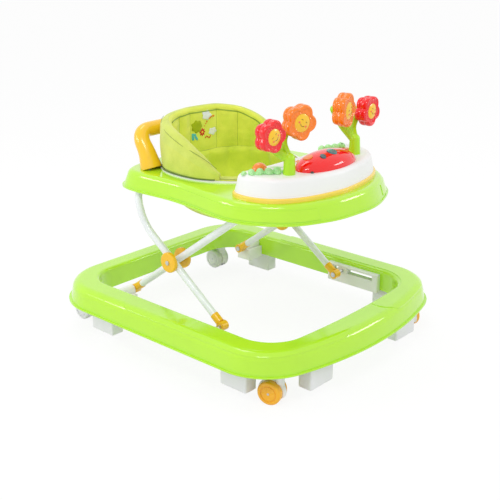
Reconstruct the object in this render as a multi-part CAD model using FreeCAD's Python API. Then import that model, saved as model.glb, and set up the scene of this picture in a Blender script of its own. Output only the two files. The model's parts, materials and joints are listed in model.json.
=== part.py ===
"""Baby walker: a rolling base ring, two crossing leg frames that fold, and a tray with seat and toys.

Millimetres.  X is across, the child faces -Y, +Z is up.  The origin is on the floor, under the middle
of the base ring.
"""
import FreeCAD, Part
import math
import os

from FreeCAD import Matrix, Vector

# Base ring
base_length = 716.0
base_width = 620.0
ring_bottom = 70.0
ring_height = 46.0
ring_wall = 3.0
ring_flange = 4.0
ring_flange_thickness = 3.0
ring_draft = 9.0
ring_outer_round = 20.0
ring_inner_round = 8.0
ring_rear_radius = 130.0
ring_front_radius = 122.0
ring_bow_radius = 780.0
band_side = 71.5
band_rear = 66.0
band_front = 76.0
inner_rear_radius = 68.0
inner_front_radius = 78.0
inner_bow_radius = 1900.0
inner_lip_drop = 4.0
corner_panel_raise = 1.2
corner_panel_margin = 13.0
corner_panel_side_end = 120.0
corner_panel_front_end = 62.0
corner_panel_round = 34.0

# Stopper feet
foot_clearance = 18.0
side_foot = (32.0, 70.0)
side_foot_inset = 46.0
side_foot_from_rear = 161.5
side_foot_from_front = 157.5
front_foot = (73.0, 33.0)
front_foot_x = 150.5
front_foot_inset = 50.5
foot_round = 4.0
foot_plug_inset = 5.0

# Casters
wheel_diameter = 50.0
wheel_width = 13.0
wheel_round = 5.0
wheel_hub_recess = 17.0
fork_width = 12.0
fork_gap = 0.6
hood_overhang = 3.0
caster_trail = 16.0
caster_stem_diameter = 11.0
caster_axle_diameter = 5.0
socket_wall = 3.5
running_clearance = 0.08
stem_clearance = 0.1
stem_end_gap = 4.0
front_caster_inset = (74.0, 73.0)
rear_caster_inset = (88.0, 54.0)
front_caster_turn = 15.6
rear_caster_turn = 0.0

# Leg frames
tube_diameter = 16.0
tube_wall = 1.2
pivot_height = 94.0
rear_pivot_y = 195.5
arm_length = 180.2
arm_angle = 36.5
outer_leg_x = 195.0
inner_leg_x = 178.0
front_arm_reach = 258.0
front_corner_radius = 50.0
rear_crossbar = (161.0, 359.0)
rear_top_angle = 80.0
rear_corner_radius = 46.0
rear_jog_start_x = 125.0
rear_jog_end = (85.0, 200.0)
rear_jog_radius = 25.0
saddle_x = (136.0, 148.0)
saddle_length = 38.0
saddle_wall = 4.0
saddle_screw_edge = 4.5
screw_radius = 1.75
screw_head_radius = 3.4
screw_head_height = 2.2
adjuster_x = (84.0, 92.0)
adjuster_clearance = 0.5
adjuster_reach_front = 14.0
adjuster_reach_rear = 44.0
adjuster_drop = 13.0
adjuster_step = 2.0
adjuster_steps = 8
pivot_pin_diameter = 8.0
cap_eye_diameter = 21.0
cap_sleeve_diameter = 18.5
cap_sleeve_start = 9.0
cap_sleeve_end = 30.0
tube_end_gap = 16.0
hub_disc_diameter = 45.0
hub_disc_thickness = 8.0
hub_rivet_diameter = 6.0
rivet_head_diameter = 10.0
rivet_head_height = 2.0

# Lower brackets and rails
rail_thickness = 12.0
rail_bottom = 60.0
rail_length = (-192.0, -48.0)
rail_bar = 5.0
slot_height = 12.0
slot_end_margin = 1.0
shoe_length = 28.0
shoe_clearance = 0.3
fold_down = 30.0
raise_up = 4.0
bracket_width_y = 40.0
bracket_bottom = 60.0
bracket_top = 88.0
bracket_boss_diameter = 24.0
side_gap = 0.3

# Tray
tray_bottom = 339.0
tray_height = 38.0
tray_wall = 3.0
tray_draft = 14.0
tray_round = 12.0
tray_lip = 2.5
tray_lip_height = 3.5
tray_half_outline = [
    (0.0, -299.5), (75.0, -291.0), (112.0, -277.5), (150.0, -258.5), (182.0, -229.0), (207.0, -190.0),
    (221.0, -145.0), (217.0, -80.0), (205.0, -10.0), (200.0, 60.0), (204.0, 125.0), (204.0, 165.0),
    (193.0, 204.0), (160.0, 227.0), (100.0, 236.0), (0.0, 239.0)]
tray_panel_raise = 1.2
tray_panel_rear_end = 62.0
tray_panel_front_end = 108.0
tray_panel_height = (346.0, 367.0)
rim_drop = 18.0

# Seat
seat_half_outline = [
    (0.0, -97.0), (62.0, -88.0), (113.0, -48.0), (143.0, 8.0), (151.0, 62.0), (143.0, 112.0),
    (113.0, 156.0), (60.0, 178.0), (0.0, 183.0)]
seat_ring_overlap = 8.0
seat_ring_thickness = 2.5
seat_collar = 3.0
seat_fit = 0.4
back_pad_thickness = 24.0
back_pad_gap = 0.3
back_pad_top = 488.0
back_pad_overhang = 4.0
wing_tip_y = -10.0
wing_crest = [(0.0, 96.0), (22.0, 68.0), (51.0, 51.0), (77.0, 37.0), (98.0, 26.0), (130.0, 13.0), (193.0, 0.0)]
pouch_bottom = 243.0
pouch_wall = 5.0
pouch_fit = 0.4
pouch_sections = [(0.0, 1.0), (0.30, 0.942), (0.72, 0.733), (1.0, 0.419)]
leg_hole_radius = 52.0
leg_hole_start = (30.0, 20.0, 322.0)
leg_hole_end = (105.0, -150.0, 262.0)

# Push handle
handle_radius = 15.0
handle_leg_x = 146.0
handle_base_y = 163.0
handle_bar = (204.0, 453.0)
handle_corner_radius = 34.0
handle_knee_back = 12.0
handle_knee_rise = 34.0
handle_knee_radius = 90.0
handle_flare = 7.0
handle_flare_height = 26.0
handle_flare_blend = 1.5
handle_screw_x = 157.0
handle_screw_spacing = 14.0
handle_screw_depth = 9.0

# Toy console
console_half_outline = [
    (0.0, -264.5), (52.0, -259.0), (100.0, -247.0), (140.0, -228.0), (168.0, -202.0), (183.0, -168.0),
    (185.0, -138.0), (176.0, -113.0), (150.0, -104.0), (100.0, -110.0), (50.0, -113.0), (0.0, -114.0)]
rim_height = 9.0
rim_proud = 4.5
console_height = 37.0
console_draft = 8.0
console_round = 11.0
console_wall = 3.0
ladybird_centre = (0.0, -205.0)
ladybird_half = (86.0, 43.0, 29.0)
ladybird_wall = 2.5
button_gap = 0.3
button_raise = 2.5
board_size = (140.0, 56.0)
board_y = -200.0
board_thickness = 1.6
board_lift = 2.0
speaker_radius = 20.0
speaker_place = (105.0, -160.0)
speaker_top = 14.0
post_radius = 4.0
post_x = 60.0
post_y = 20.0
cover_size = (90.0, 60.0)
cover_y = -215.0
cover_depth = 14.0

roller_place = (-128.0, -137.0)
roller_radius = 16.0
roller_gap = 0.6
roller_pin = 4.0
grubs = {
    "left": ((-160.0, -146.0), (-123.0, -176.0)),
    "right": ((79.0, -134.0), (121.0, -153.0))}
grub_radii = [8.0, 8.5, 9.0, 10.0]
grub_lift = 5.0
feet_offset = 17.0
feet_width = 10.0
feet_height = 5.0

# Flowers
stem_base = (109.0, -198.0)
stem_base_radius = 12.5
stem_top_radius = 11.0
stem_height = 32.0
branch_radius = 8.5
branch_bend = 40.0
flower_depth = 20.0
flower_gap = 1.0
petal_count = 5
petal_radius = 32.5
petal_depth = 4.6
face_radius = 18.5
petal_round = 6.0
face_recess = 2.0
face_dome = 4.0
spindle_diameter = 6.0
spindle_depth = 12.0

ring_top = ring_bottom + ring_height
ring_rear_y = base_length / 2
ring_front_y = -base_length / 2
tray_top = tray_bottom + tray_height
console_base = tray_top + rim_height
console_top = console_base + console_height
tube_radius = tube_diameter / 2
arm_slope = math.radians(arm_angle)
hub_y = rear_pivot_y - arm_length * math.cos(arm_slope)
hub_z = pivot_height + arm_length * math.sin(arm_slope)
front_pivot_y = hub_y - arm_length * math.cos(arm_slope)
front_crossbar = (hub_y - front_arm_reach * math.cos(arm_slope),
                  hub_z + front_arm_reach * math.sin(arm_slope))
inner_wall_x = base_width / 2 - band_side
side_foot_x = base_width / 2 - side_foot_inset
side_foot_y = (ring_rear_y - side_foot_from_rear, ring_front_y + side_foot_from_front)
front_foot_place = (front_foot_x, ring_front_y + front_foot_inset)
front_caster = (base_width / 2 - front_caster_inset[0], ring_front_y + front_caster_inset[1])
rear_caster = (base_width / 2 - rear_caster_inset[0], ring_rear_y - rear_caster_inset[1])
sides = {"left": -1.0, "right": 1.0}


def box(x_span, y_span, z_span):
    low = Vector(min(x_span), min(y_span), min(z_span))
    return Part.makeBox(abs(x_span[1] - x_span[0]), abs(y_span[1] - y_span[0]),
                        abs(z_span[1] - z_span[0]), low)


def rod(radius, start, end):
    return Part.makeCylinder(radius, (end - start).Length, start, end - start)


def x_rod(radius, x_start, x_end, y, z):
    return rod(radius, Vector(x_start, y, z), Vector(x_end, y, z))


def z_rod(radius, x, y, z_start, z_end):
    return rod(radius, Vector(x, y, z_start), Vector(x, y, z_end))


def mirrored(shape):
    return shape.mirror(Vector(0, 0, 0), Vector(1, 0, 0))


def pair(shape):
    return Part.makeCompound([shape, mirrored(shape)])


def prism(wire, height):
    return Part.Face(wire).extrude(Vector(0, 0, height))


def loft(wires, ruled=True):
    return Part.makeLoft(wires, True, ruled)


def round_edges(shape, radius, chosen):
    edges = [edge for edge in shape.Edges if chosen(edge)]
    return shape.makeFillet(radius, edges) if edges else shape


def level_at(height):
    """Chooses the edges that lie flat at one height."""
    def chosen(edge):
        box_of_edge = edge.BoundBox
        return abs(box_of_edge.ZMin - height) < 0.01 and abs(box_of_edge.ZMax - height) < 0.01
    return chosen


def export(name, shape):
    shape.exportStep(os.path.join("parts", name + ".step"))
    print(name, len(shape.Solids), shape.isValid(), round(shape.Volume))


# Outlines

def ring_outline(half_width, rear_y, front_y, rear_radius, front_radius, bow_radius, z):
    """Rounded rectangle with a bowed front edge; each arc is tangent to its neighbours."""
    bow_centre = front_y + bow_radius
    corner_x = half_width - front_radius
    corner_y = bow_centre - math.sqrt((bow_radius - front_radius) ** 2 - corner_x ** 2)
    rear_corner = (half_width - rear_radius, rear_y - rear_radius)
    end_angle = math.atan2(corner_y - bow_centre, corner_x)

    def around(centre, radius, angle):
        return Vector(centre[0] + radius * math.cos(angle), centre[1] + radius * math.sin(angle), z)

    def flipped(point):
        return Vector(-point.x, point.y, point.z)

    rear_start = around(rear_corner, rear_radius, math.pi / 2)
    rear_middle = around(rear_corner, rear_radius, math.pi / 4)
    rear_end = around(rear_corner, rear_radius, 0.0)
    front_start = around((corner_x, corner_y), front_radius, 0.0)
    front_middle = around((corner_x, corner_y), front_radius, end_angle / 2)
    front_end = around((corner_x, corner_y), front_radius, end_angle)
    edges = [
        Part.Arc(rear_start, rear_middle, rear_end).toShape(),
        Part.makeLine(rear_end, front_start),
        Part.Arc(front_start, front_middle, front_end).toShape(),
        Part.Arc(front_end, Vector(0, front_y, z), flipped(front_end)).toShape(),
        Part.Arc(flipped(front_end), flipped(front_middle), flipped(front_start)).toShape(),
        Part.makeLine(flipped(front_start), flipped(rear_end)),
        Part.Arc(flipped(rear_end), flipped(rear_middle), flipped(rear_start)).toShape(),
        Part.makeLine(flipped(rear_start), rear_start)]
    return Part.Wire(edges)


def outer_outline(inset, z):
    return ring_outline(base_width / 2 - inset, ring_rear_y - inset, ring_front_y + inset,
                        ring_rear_radius - inset, ring_front_radius - inset, ring_bow_radius - inset, z)


def inner_outline(outset, z):
    return ring_outline(inner_wall_x + outset, ring_rear_y - band_rear + outset,
                        ring_front_y + band_front - outset, inner_rear_radius + outset,
                        inner_front_radius + outset, inner_bow_radius + outset, z)


def smooth_outline(half_points, inset, z, scale=1.0):
    """Closed smooth curve through half an outline and its mirror image, moved in by the inset."""
    mirror = [(-x, y) for x, y in reversed(half_points[1:-1])]
    points = [Vector(x, y, 0) for x, y in half_points + mirror]
    curve = Part.BSplineCurve()
    curve.interpolate(Points=points, PeriodicFlag=True)
    middle_y = (half_points[0][1] + half_points[-1][1]) / 2
    moved = []
    for point in points:
        tangent = curve.tangent(curve.parameter(point))[0]
        inward = Vector(-tangent.y, tangent.x, 0)
        place = point + inward * inset
        moved.append(Vector(place.x * scale, middle_y + (place.y - middle_y) * scale, z))
    result = Part.BSplineCurve()
    result.interpolate(Points=moved, PeriodicFlag=True)
    return Part.Wire(result.toShape())


def tray_outline(inset, z):
    return smooth_outline(tray_half_outline, inset, z)


def seat_outline(inset, z, scale=1.0):
    return smooth_outline(seat_half_outline, inset, z, scale)


def console_outline(inset, z):
    return smooth_outline(console_half_outline, inset, z)


def rounded_path(points, radii):
    """Straight runs through the points, joined by tangent arcs."""
    edges = []
    start = points[0]
    for before, corner, after, radius in zip(points, points[1:], points[2:], radii):
        back = (before - corner).normalize()
        ahead = (after - corner).normalize()
        half_angle = back.getAngle(ahead) / 2
        reach = radius / math.tan(half_angle)
        centre = corner + (back + ahead).normalize() * (radius / math.sin(half_angle))
        arc_start = corner + back * reach
        arc_end = corner + ahead * reach
        arc_middle = centre + (corner - centre).normalize() * radius
        if (arc_start - start).Length > 0.01:
            edges.append(Part.makeLine(start, arc_start))
        edges.append(Part.Arc(arc_start, arc_middle, arc_end).toShape())
        start = arc_end
    edges.append(Part.makeLine(start, points[-1]))
    return Part.Wire(edges)


def sweep(path, radius):
    start = path.OrderedEdges[0]
    direction = start.tangentAt(start.FirstParameter)
    profile = Part.Wire(Part.makeCircle(radius, start.valueAt(start.FirstParameter), direction))
    return path.makePipeShell([profile], True, False)


# Base

def corner_panel(side):
    """Raised plateau that runs round one front corner of the ring."""
    body_top = ring_top + corner_panel_raise
    skin = loft([outer_outline(ring_flange - corner_panel_raise, ring_bottom),
                 outer_outline(ring_flange + ring_draft - corner_panel_raise, body_top)])
    skin = round_edges(skin, ring_outer_round, level_at(body_top))
    plan = prism(outer_outline(corner_panel_margin, ring_bottom), ring_height * 2)
    plan = plan.cut(prism(inner_outline(ring_inner_round + 1.0, ring_bottom - 1), ring_height * 2 + 2))
    x_span = (side * corner_panel_front_end, side * base_width)
    plan = plan.common(box(x_span, (corner_panel_side_end, -base_length), (0, ring_top * 2)))

    def outer_end(edge):
        ends = edge.BoundBox
        upright = ends.ZLength > ring_height
        on_side = abs(ends.YMin - corner_panel_side_end) < 0.1 and abs(ends.XMin) > inner_wall_x + 30
        on_front = abs(abs(ends.XMin) - corner_panel_front_end) < 0.1 and ends.YMin < ring_front_y + 40
        return upright and (on_side or on_front)

    return skin.common(round_edges(plan, corner_panel_round, outer_end))


def base_ring():
    outer = loft([outer_outline(ring_flange, ring_bottom),
                  outer_outline(ring_flange + ring_draft, ring_top)])
    outer = round_edges(outer, ring_outer_round, level_at(ring_top))
    outer = outer.fuse(prism(outer_outline(0, ring_bottom), ring_flange_thickness))
    hole = prism(inner_outline(0, ring_bottom - 1), ring_height + 2)
    inner_room = FreeCAD.BoundBox(-inner_wall_x, ring_front_y + band_front, ring_bottom,
                                  inner_wall_x, ring_rear_y - band_rear, ring_top)
    inner_room.enlarge(0.1)
    body = round_edges(outer.cut(hole), ring_inner_round,
                       lambda edge: level_at(ring_top)(edge) and inner_room.isInside(edge.BoundBox))
    cavity = loft([outer_outline(ring_flange + ring_wall, ring_bottom),
                   outer_outline(ring_flange + ring_draft + ring_wall, ring_top - ring_wall)])
    cavity = round_edges(cavity, ring_outer_round - ring_wall, level_at(ring_top - ring_wall))
    cavity = cavity.cut(prism(inner_outline(ring_wall, ring_bottom - 1), ring_height + 2))
    lip = prism(inner_outline(ring_wall, ring_bottom - inner_lip_drop), inner_lip_drop + 1)
    lip = lip.cut(prism(inner_outline(0, ring_bottom - inner_lip_drop - 1), inner_lip_drop + 3))
    body = body.fuse([corner_panel(side) for side in sides.values()]).cut(cavity).fuse(lip)
    for side in sides.values():
        x_span = (side * (inner_wall_x - 1), side * (inner_wall_x + ring_wall + 1))
        body = body.cut(box(x_span, slot_y_span(), slot_z_span()))
    return body.removeSplitter()


def slider_y(fold):
    """Place of the sliding lower end at a fold angle in degrees."""
    slope = math.radians(arm_angle - fold)
    return rear_pivot_y - 2 * arm_length * math.cos(slope)


def slot_y_span():
    margin = shoe_length / 2 + slot_end_margin
    return (slider_y(fold_down) - margin, slider_y(-raise_up) + margin)


def slot_z_span():
    return (pivot_height - slot_height / 2, pivot_height + slot_height / 2)


def slide_rail():
    rail_top = pivot_height + slot_height / 2 + rail_bar
    x_span = (inner_wall_x - rail_thickness, inner_wall_x)
    rail = box(x_span, rail_length, (rail_bottom, rail_top))
    rail = round_edges(rail, 3.0, lambda edge: abs(edge.BoundBox.XMax - x_span[0]) < 0.01)
    return rail.cut(box((x_span[0] - 1, x_span[1] + 1), slot_y_span(), slot_z_span()))


def rear_bracket():
    x_span = (inner_leg_x + tube_radius + 3.0, inner_wall_x)
    y_span = (rear_pivot_y - bracket_width_y / 2, rear_pivot_y + bracket_width_y / 2)
    block = box(x_span, y_span, (bracket_bottom, bracket_top))
    block = round_edges(block, 3.0, lambda edge: abs(edge.BoundBox.XMax - x_span[0]) < 0.01)
    boss = x_rod(bracket_boss_diameter / 2, x_span[0], x_span[1], rear_pivot_y, pivot_height)
    return block.fuse(boss).cut(x_rod(pivot_pin_diameter / 2, x_span[0] - 1, x_span[1] + 1,
                                      rear_pivot_y, pivot_height))


def stop_foot(size, place):
    x_span = (place[0] - size[0] / 2, place[0] + size[0] / 2)
    y_span = (place[1] - size[1] / 2, place[1] + size[1] / 2)
    block = box(x_span, y_span, (foot_clearance, ring_bottom + 8.0))
    block = round_edges(block, foot_round, lambda edge: edge.BoundBox.ZMin < foot_clearance + 0.01)
    inset = foot_plug_inset
    plug = box((x_span[0] + inset, x_span[1] - inset), (y_span[0] + inset, y_span[1] - inset),
               (ring_bottom, ring_top - ring_wall))
    return block.fuse(plug)


# Casters

def turned(shape, place, angle):
    shape.rotate(Vector(0, 0, 0), Vector(0, 0, 1), angle)
    shape.translate(Vector(place[0], place[1], 0))
    return shape


def caster_fork():
    """Web between the wheels with its hood and stem; the swivel axis is at the origin."""
    axle = Vector(0, caster_trail, wheel_diameter / 2)
    hood_radius = wheel_diameter / 2 + hood_overhang
    half = fork_width / 2
    web = x_rod(hood_radius, -half, half, axle.y, axle.z)
    web = web.common(box((-half, half), (-wheel_diameter, wheel_diameter * 2), (axle.z - 9.0, ring_bottom)))
    neck = box((-half, half), (-8.0, axle.y), (axle.z + 2.0, ring_bottom - 8.0))
    neck = neck.fuse(z_rod(9.0, 0, 0, wheel_diameter - 6.0, ring_bottom - 5.0))
    stem = z_rod(caster_stem_diameter / 2, 0, 0, ring_bottom - 6.0, ring_top - ring_wall - stem_end_gap)
    bore = x_rod(caster_axle_diameter / 2 + running_clearance, -half - 1, half + 1, axle.y, axle.z)
    wheel_room = pair(x_rod(wheel_diameter / 2 + fork_gap, half, half + wheel_width * 2, axle.y, axle.z))
    return web.fuse(neck).cut(wheel_room).fuse(stem).cut(bore)


def caster_wheels():
    inner = fork_width / 2 + fork_gap
    height = wheel_diameter / 2
    outer = inner + wheel_width
    wheel = x_rod(height, inner, outer, caster_trail, height)
    wheel = round_edges(wheel, wheel_round, lambda edge: edge.BoundBox.XMin > outer - 0.01)
    dish = x_rod(wheel_hub_recess, outer - 1.0, outer + 1.0, caster_trail, height)
    cap = x_rod(wheel_hub_recess - 2.0, outer - 2.0, outer, caster_trail, height)
    wheel = wheel.cut(dish).fuse(cap)
    return pair(wheel.cut(x_rod(caster_axle_diameter / 2, inner - 1, outer + 1, caster_trail, height)))


def caster_axle():
    reach = fork_width / 2 + fork_gap + wheel_width + 0.8
    return x_rod(caster_axle_diameter / 2, -reach, reach, caster_trail, wheel_diameter / 2)


def caster_socket():
    radius = caster_stem_diameter / 2
    top = ring_top - ring_wall
    sleeve = z_rod(radius + socket_wall, 0, 0, ring_bottom, top)
    return sleeve.cut(z_rod(radius + stem_clearance, 0, 0, ring_bottom - 1, top - stem_end_gap + 1.0))


# Leg frames

def hollow_tube(points, radii):
    path = rounded_path(points, radii)
    return sweep(path, tube_radius).cut(sweep(path, tube_radius - tube_wall))


def front_leg_tube():
    """U frame from the rear pivots, up and forward to the crossbar under the front of the tray."""
    back = Vector(0, math.cos(arm_slope), -math.sin(arm_slope))
    pivot = Vector(inner_leg_x, rear_pivot_y, pivot_height)
    end = pivot - back * tube_end_gap
    corner = Vector(inner_leg_x, front_crossbar[0], front_crossbar[1])
    points = [Vector(-end.x, end.y, end.z), Vector(-corner.x, corner.y, corner.z), corner, end]
    tube = hollow_tube(points, [front_corner_radius] * 2)
    return tube.cut(x_rod(hub_rivet_diameter / 2, -outer_leg_x, outer_leg_x, hub_y, hub_z))


def rear_leg_points(side):
    """From the lower end, past the hub and the bend, to the crossbar that jogs back round the seat."""
    rise = Vector(0, math.cos(arm_slope), math.sin(arm_slope))
    top_slope = math.radians(rear_top_angle)
    top = Vector(0, math.cos(top_slope), math.sin(top_slope))
    lower = Vector(side * outer_leg_x, front_pivot_y, pivot_height) + rise * tube_end_gap
    corner = Vector(side * outer_leg_x, rear_crossbar[0], rear_crossbar[1])
    hub_to_corner = corner - Vector(corner.x, hub_y, hub_z)
    across = rise.y * top.z - rise.z * top.y
    along = (hub_to_corner.y * top.z - hub_to_corner.z * top.y) / across
    bend = Vector(corner.x, hub_y, hub_z) + rise * along
    jog_start = Vector(side * rear_jog_start_x, rear_crossbar[0], rear_crossbar[1])
    jog_end = Vector(side * rear_jog_end[0], rear_jog_end[1], rear_crossbar[1])
    return lower, bend, corner, jog_start, jog_end


def rear_leg_tube():
    """U frame from the sliding ends to the journals that hinge the tray, and round behind the seat."""
    left = rear_leg_points(-1.0)
    right = rear_leg_points(1.0)
    turn = math.radians(rear_top_angle - arm_angle)
    last_run = (left[2] - left[1]).Length - rear_corner_radius
    bend_radius = 0.98 * last_run / math.tan(turn / 2)
    radii = [bend_radius, rear_corner_radius, rear_jog_radius, rear_jog_radius]
    radii = radii + radii[::-1]
    tube = hollow_tube(list(left) + list(reversed(right)), radii)
    bore = hub_rivet_diameter / 2 + running_clearance
    return tube.cut(x_rod(bore, -outer_leg_x - tube_diameter, outer_leg_x + tube_diameter, hub_y, hub_z))


def leg_cap(x, y, direction):
    """Moulded end cap: an eye on the pivot and a sleeve with a plug in the tube."""
    pivot = Vector(x, y, pivot_height)
    eye = x_rod(cap_eye_diameter / 2, x - tube_radius, x + tube_radius, y, pivot_height)
    start = pivot + direction * cap_sleeve_start
    sleeve = rod(cap_sleeve_diameter / 2, start, pivot + direction * cap_sleeve_end)
    sleeve = sleeve.cut(rod(tube_radius, pivot + direction * tube_end_gap,
                            pivot + direction * (cap_sleeve_end + 1)))
    plug = rod(tube_radius - tube_wall, start, pivot + direction * (cap_sleeve_end - 4.0))
    return eye.fuse([sleeve, plug])


def front_leg_cap():
    direction = Vector(0, -math.cos(arm_slope), math.sin(arm_slope))
    cap = leg_cap(inner_leg_x, rear_pivot_y, direction)
    bore = pivot_pin_diameter / 2 + running_clearance
    return cap.cut(x_rod(bore, inner_leg_x - 20, inner_leg_x + 20, rear_pivot_y, pivot_height))


def rear_leg_cap():
    direction = Vector(0, math.cos(arm_slope), math.sin(arm_slope))
    cap = leg_cap(outer_leg_x, front_pivot_y, direction)
    return cap.cut(x_rod(pivot_pin_diameter / 2, outer_leg_x - 20, outer_leg_x + 20,
                         front_pivot_y, pivot_height))


def rear_pivot_pin():
    face_x = inner_leg_x - tube_radius
    radius = pivot_pin_diameter / 2
    pin = x_rod(radius, face_x - 1.5, inner_wall_x, rear_pivot_y, pivot_height)
    head = x_rod(radius + 2, face_x - 2.5, face_x - side_gap, rear_pivot_y, pivot_height)
    return pin.fuse(head)


def slider_pin():
    face_x = outer_leg_x - tube_radius
    radius = pivot_pin_diameter / 2
    pin = x_rod(radius, face_x, inner_wall_x - 1.0, front_pivot_y, pivot_height)
    head = x_rod(radius + 2, face_x - 2.0, face_x, front_pivot_y, pivot_height)
    return pin.fuse(head)


def slider_shoe():
    half = slot_height / 2 - shoe_clearance
    x_span = (inner_wall_x - rail_thickness - 4.0, inner_wall_x - 0.5)
    shoe = box(x_span, (front_pivot_y - shoe_length / 2, front_pivot_y + shoe_length / 2),
               (pivot_height - half, pivot_height + half))
    shoe = round_edges(shoe, 2.0, lambda edge: edge.BoundBox.XLength > 5.0)
    bore = pivot_pin_diameter / 2 + running_clearance
    return shoe.cut(x_rod(bore, x_span[0] - 1, x_span[1] + 1, front_pivot_y, pivot_height))


def hub_disc(x_start, x_end, far_x):
    disc = x_rod(hub_disc_diameter / 2, x_start, x_end, hub_y, hub_z)
    disc = round_edges(disc, 3.0, lambda edge: abs(edge.BoundBox.XMax - far_x) < 0.01)
    return disc.cut(x_rod(hub_rivet_diameter / 2 + running_clearance, min(x_start, x_end) - 1,
                          max(x_start, x_end) + 1, hub_y, hub_z))


def hub_rivet():
    inner = inner_leg_x - tube_radius - side_gap - hub_disc_thickness
    outer = outer_leg_x + tube_radius + side_gap + hub_disc_thickness
    inner_end = inner - rivet_head_height
    outer_end = outer + rivet_head_height
    shank = x_rod(hub_rivet_diameter / 2, inner_end, outer_end, hub_y, hub_z)
    head_in = x_rod(rivet_head_diameter / 2, inner_end, inner, hub_y, hub_z)
    head_out = x_rod(rivet_head_diameter / 2, outer, outer_end, hub_y, hub_z)
    return shank.fuse([head_in, head_out])


# Tray

def tray_panel(side):
    """Raised panel on one side of the skirt."""
    raise_by = tray_panel_raise
    skin = loft([tray_outline(-raise_by, tray_bottom), tray_outline(tray_draft - raise_by, tray_top)])
    x_span = (side * tray_panel_front_end, side * base_width)
    plan = box(x_span, (tray_panel_rear_end, -base_length), tray_panel_height)
    plan = round_edges(plan, 9.0, lambda edge: edge.BoundBox.XLength > 50
                       and abs(edge.BoundBox.YMax - tray_panel_rear_end) < 0.1)
    inner = prism(tray_outline(tray_draft, tray_bottom), tray_height)
    return skin.common(plan).cut(inner)


def tray_shell():
    body = loft([tray_outline(0, tray_bottom), tray_outline(tray_draft, tray_top)])
    body = round_edges(body, tray_round, level_at(tray_top))
    lip = prism(tray_outline(-tray_lip, tray_bottom), tray_lip_height)
    body = body.fuse([lip] + [tray_panel(side) for side in sides.values()])
    cavity = loft([tray_outline(tray_wall, tray_bottom - 0.01),
                   tray_outline(tray_draft + tray_wall, tray_top - tray_wall)])
    cavity = round_edges(cavity, tray_round - tray_wall, level_at(tray_top - tray_wall))
    rim = prism(seat_outline(-tray_wall, tray_top - rim_drop), rim_drop - 1)
    opening = prism(seat_outline(0, tray_bottom - 1), tray_height + 2)
    holes = [z_rod(screw_radius, side * x, y, tray_bottom, tray_top + 1)
             for x, y in handle_screw_places() for side in sides.values()]
    return body.cut(cavity).fuse(rim).cut([opening] + holes)


def leg_saddle():
    y, z = rear_crossbar
    half = saddle_length / 2
    block = box(saddle_x, (y - half, y + half), (z - tube_radius - saddle_wall, tray_top - tray_wall))
    block = round_edges(block, 4.0, lambda edge: edge.BoundBox.XLength > 5 and edge.BoundBox.ZMax < z)
    block = block.cut(x_rod(tube_radius + running_clearance, saddle_x[0] - 1, saddle_x[1] + 1, y, z))
    for place in saddle_screws():
        block = block.cut(z_rod(screw_radius, place[0], place[1], 0, tray_top))
    return block


def saddle_screws():
    x = (saddle_x[0] + saddle_x[1]) / 2
    reach = saddle_length / 2 - saddle_screw_edge
    return [(x, rear_crossbar[0] - reach), (x, rear_crossbar[0] + reach)]


def crossbar_shift(fold):
    """How far the front crossbar moves relative to the level tray when the frames fold."""
    def frame_end(reach_y, reach_z, turn):
        angle = math.atan2(reach_z, reach_y) + math.radians(turn)
        reach = math.hypot(reach_y, reach_z)
        return reach * math.cos(angle), reach * math.sin(angle)
    front = frame_end(front_crossbar[0] - hub_y, front_crossbar[1] - hub_z, fold)
    rear = frame_end(rear_crossbar[0] - hub_y, rear_crossbar[1] - hub_z, -fold)
    rest_y = front_crossbar[0] - rear_crossbar[0]
    rest_z = front_crossbar[1] - rear_crossbar[1]
    return front[0] - rear[0] - rest_y, front[1] - rear[1] - rest_z


def height_adjuster():
    """Hook plate under the tray: the front crossbar rests in its upper end and leaves forward to fold."""
    slot_radius = tube_radius + adjuster_clearance
    y_span = (front_crossbar[0] - adjuster_reach_front, front_crossbar[0] + adjuster_reach_rear)
    plate = box(adjuster_x, y_span, (front_crossbar[1] - adjuster_drop, tray_top - tray_wall))
    steps = [-raise_up + adjuster_step * index for index in range(adjuster_steps)]
    centres = [crossbar_shift(step) for step in steps]
    for first, second in zip(centres, centres[1:]):
        start = Vector(adjuster_x[0] - 1, front_crossbar[0] + first[0], front_crossbar[1] + first[1])
        run = Vector(0, second[0] - first[0], second[1] - first[1])
        normal = Vector(0, -run.z, run.y).normalize() * slot_radius
        corners = [start + normal, start + run + normal, start + run - normal, start - normal]
        through = Vector(adjuster_x[1] - adjuster_x[0] + 2, 0, 0)
        plate = plate.cut(Part.Face(Part.makePolygon(corners + corners[:1])).extrude(through))
        plate = plate.cut(x_rod(slot_radius, adjuster_x[0] - 1, adjuster_x[1] + 1, start.y, start.z))
    return max(plate.Solids, key=lambda solid: solid.Volume)


def screw(x, y, seat_z, length):
    """Pan-head screw driven upward: the head sits under seat_z."""
    head = z_rod(screw_head_radius, x, y, seat_z - screw_head_height, seat_z)
    return head.fuse(z_rod(screw_radius, x, y, seat_z, seat_z + length))


def saddle_screw_set():
    seat_z = rear_crossbar[1] - tube_radius - saddle_wall
    reach = tray_top - tray_wall - seat_z
    return [screw(x, y, seat_z, reach) for x, y in saddle_screws()]


def handle_screw_places():
    reach = handle_screw_spacing / 2
    return [(handle_screw_x, handle_base_y - reach), (handle_screw_x, handle_base_y + reach)]


# Seat

def seat_ring():
    flange = prism(seat_outline(-seat_ring_overlap, tray_top), seat_ring_thickness)
    collar = prism(seat_outline(seat_fit, tray_top - rim_drop), rim_drop + 1)
    opening = prism(seat_outline(seat_fit + seat_collar, tray_top - rim_drop - 1), rim_drop + 10)
    return flange.fuse(collar).cut(opening)


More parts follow.
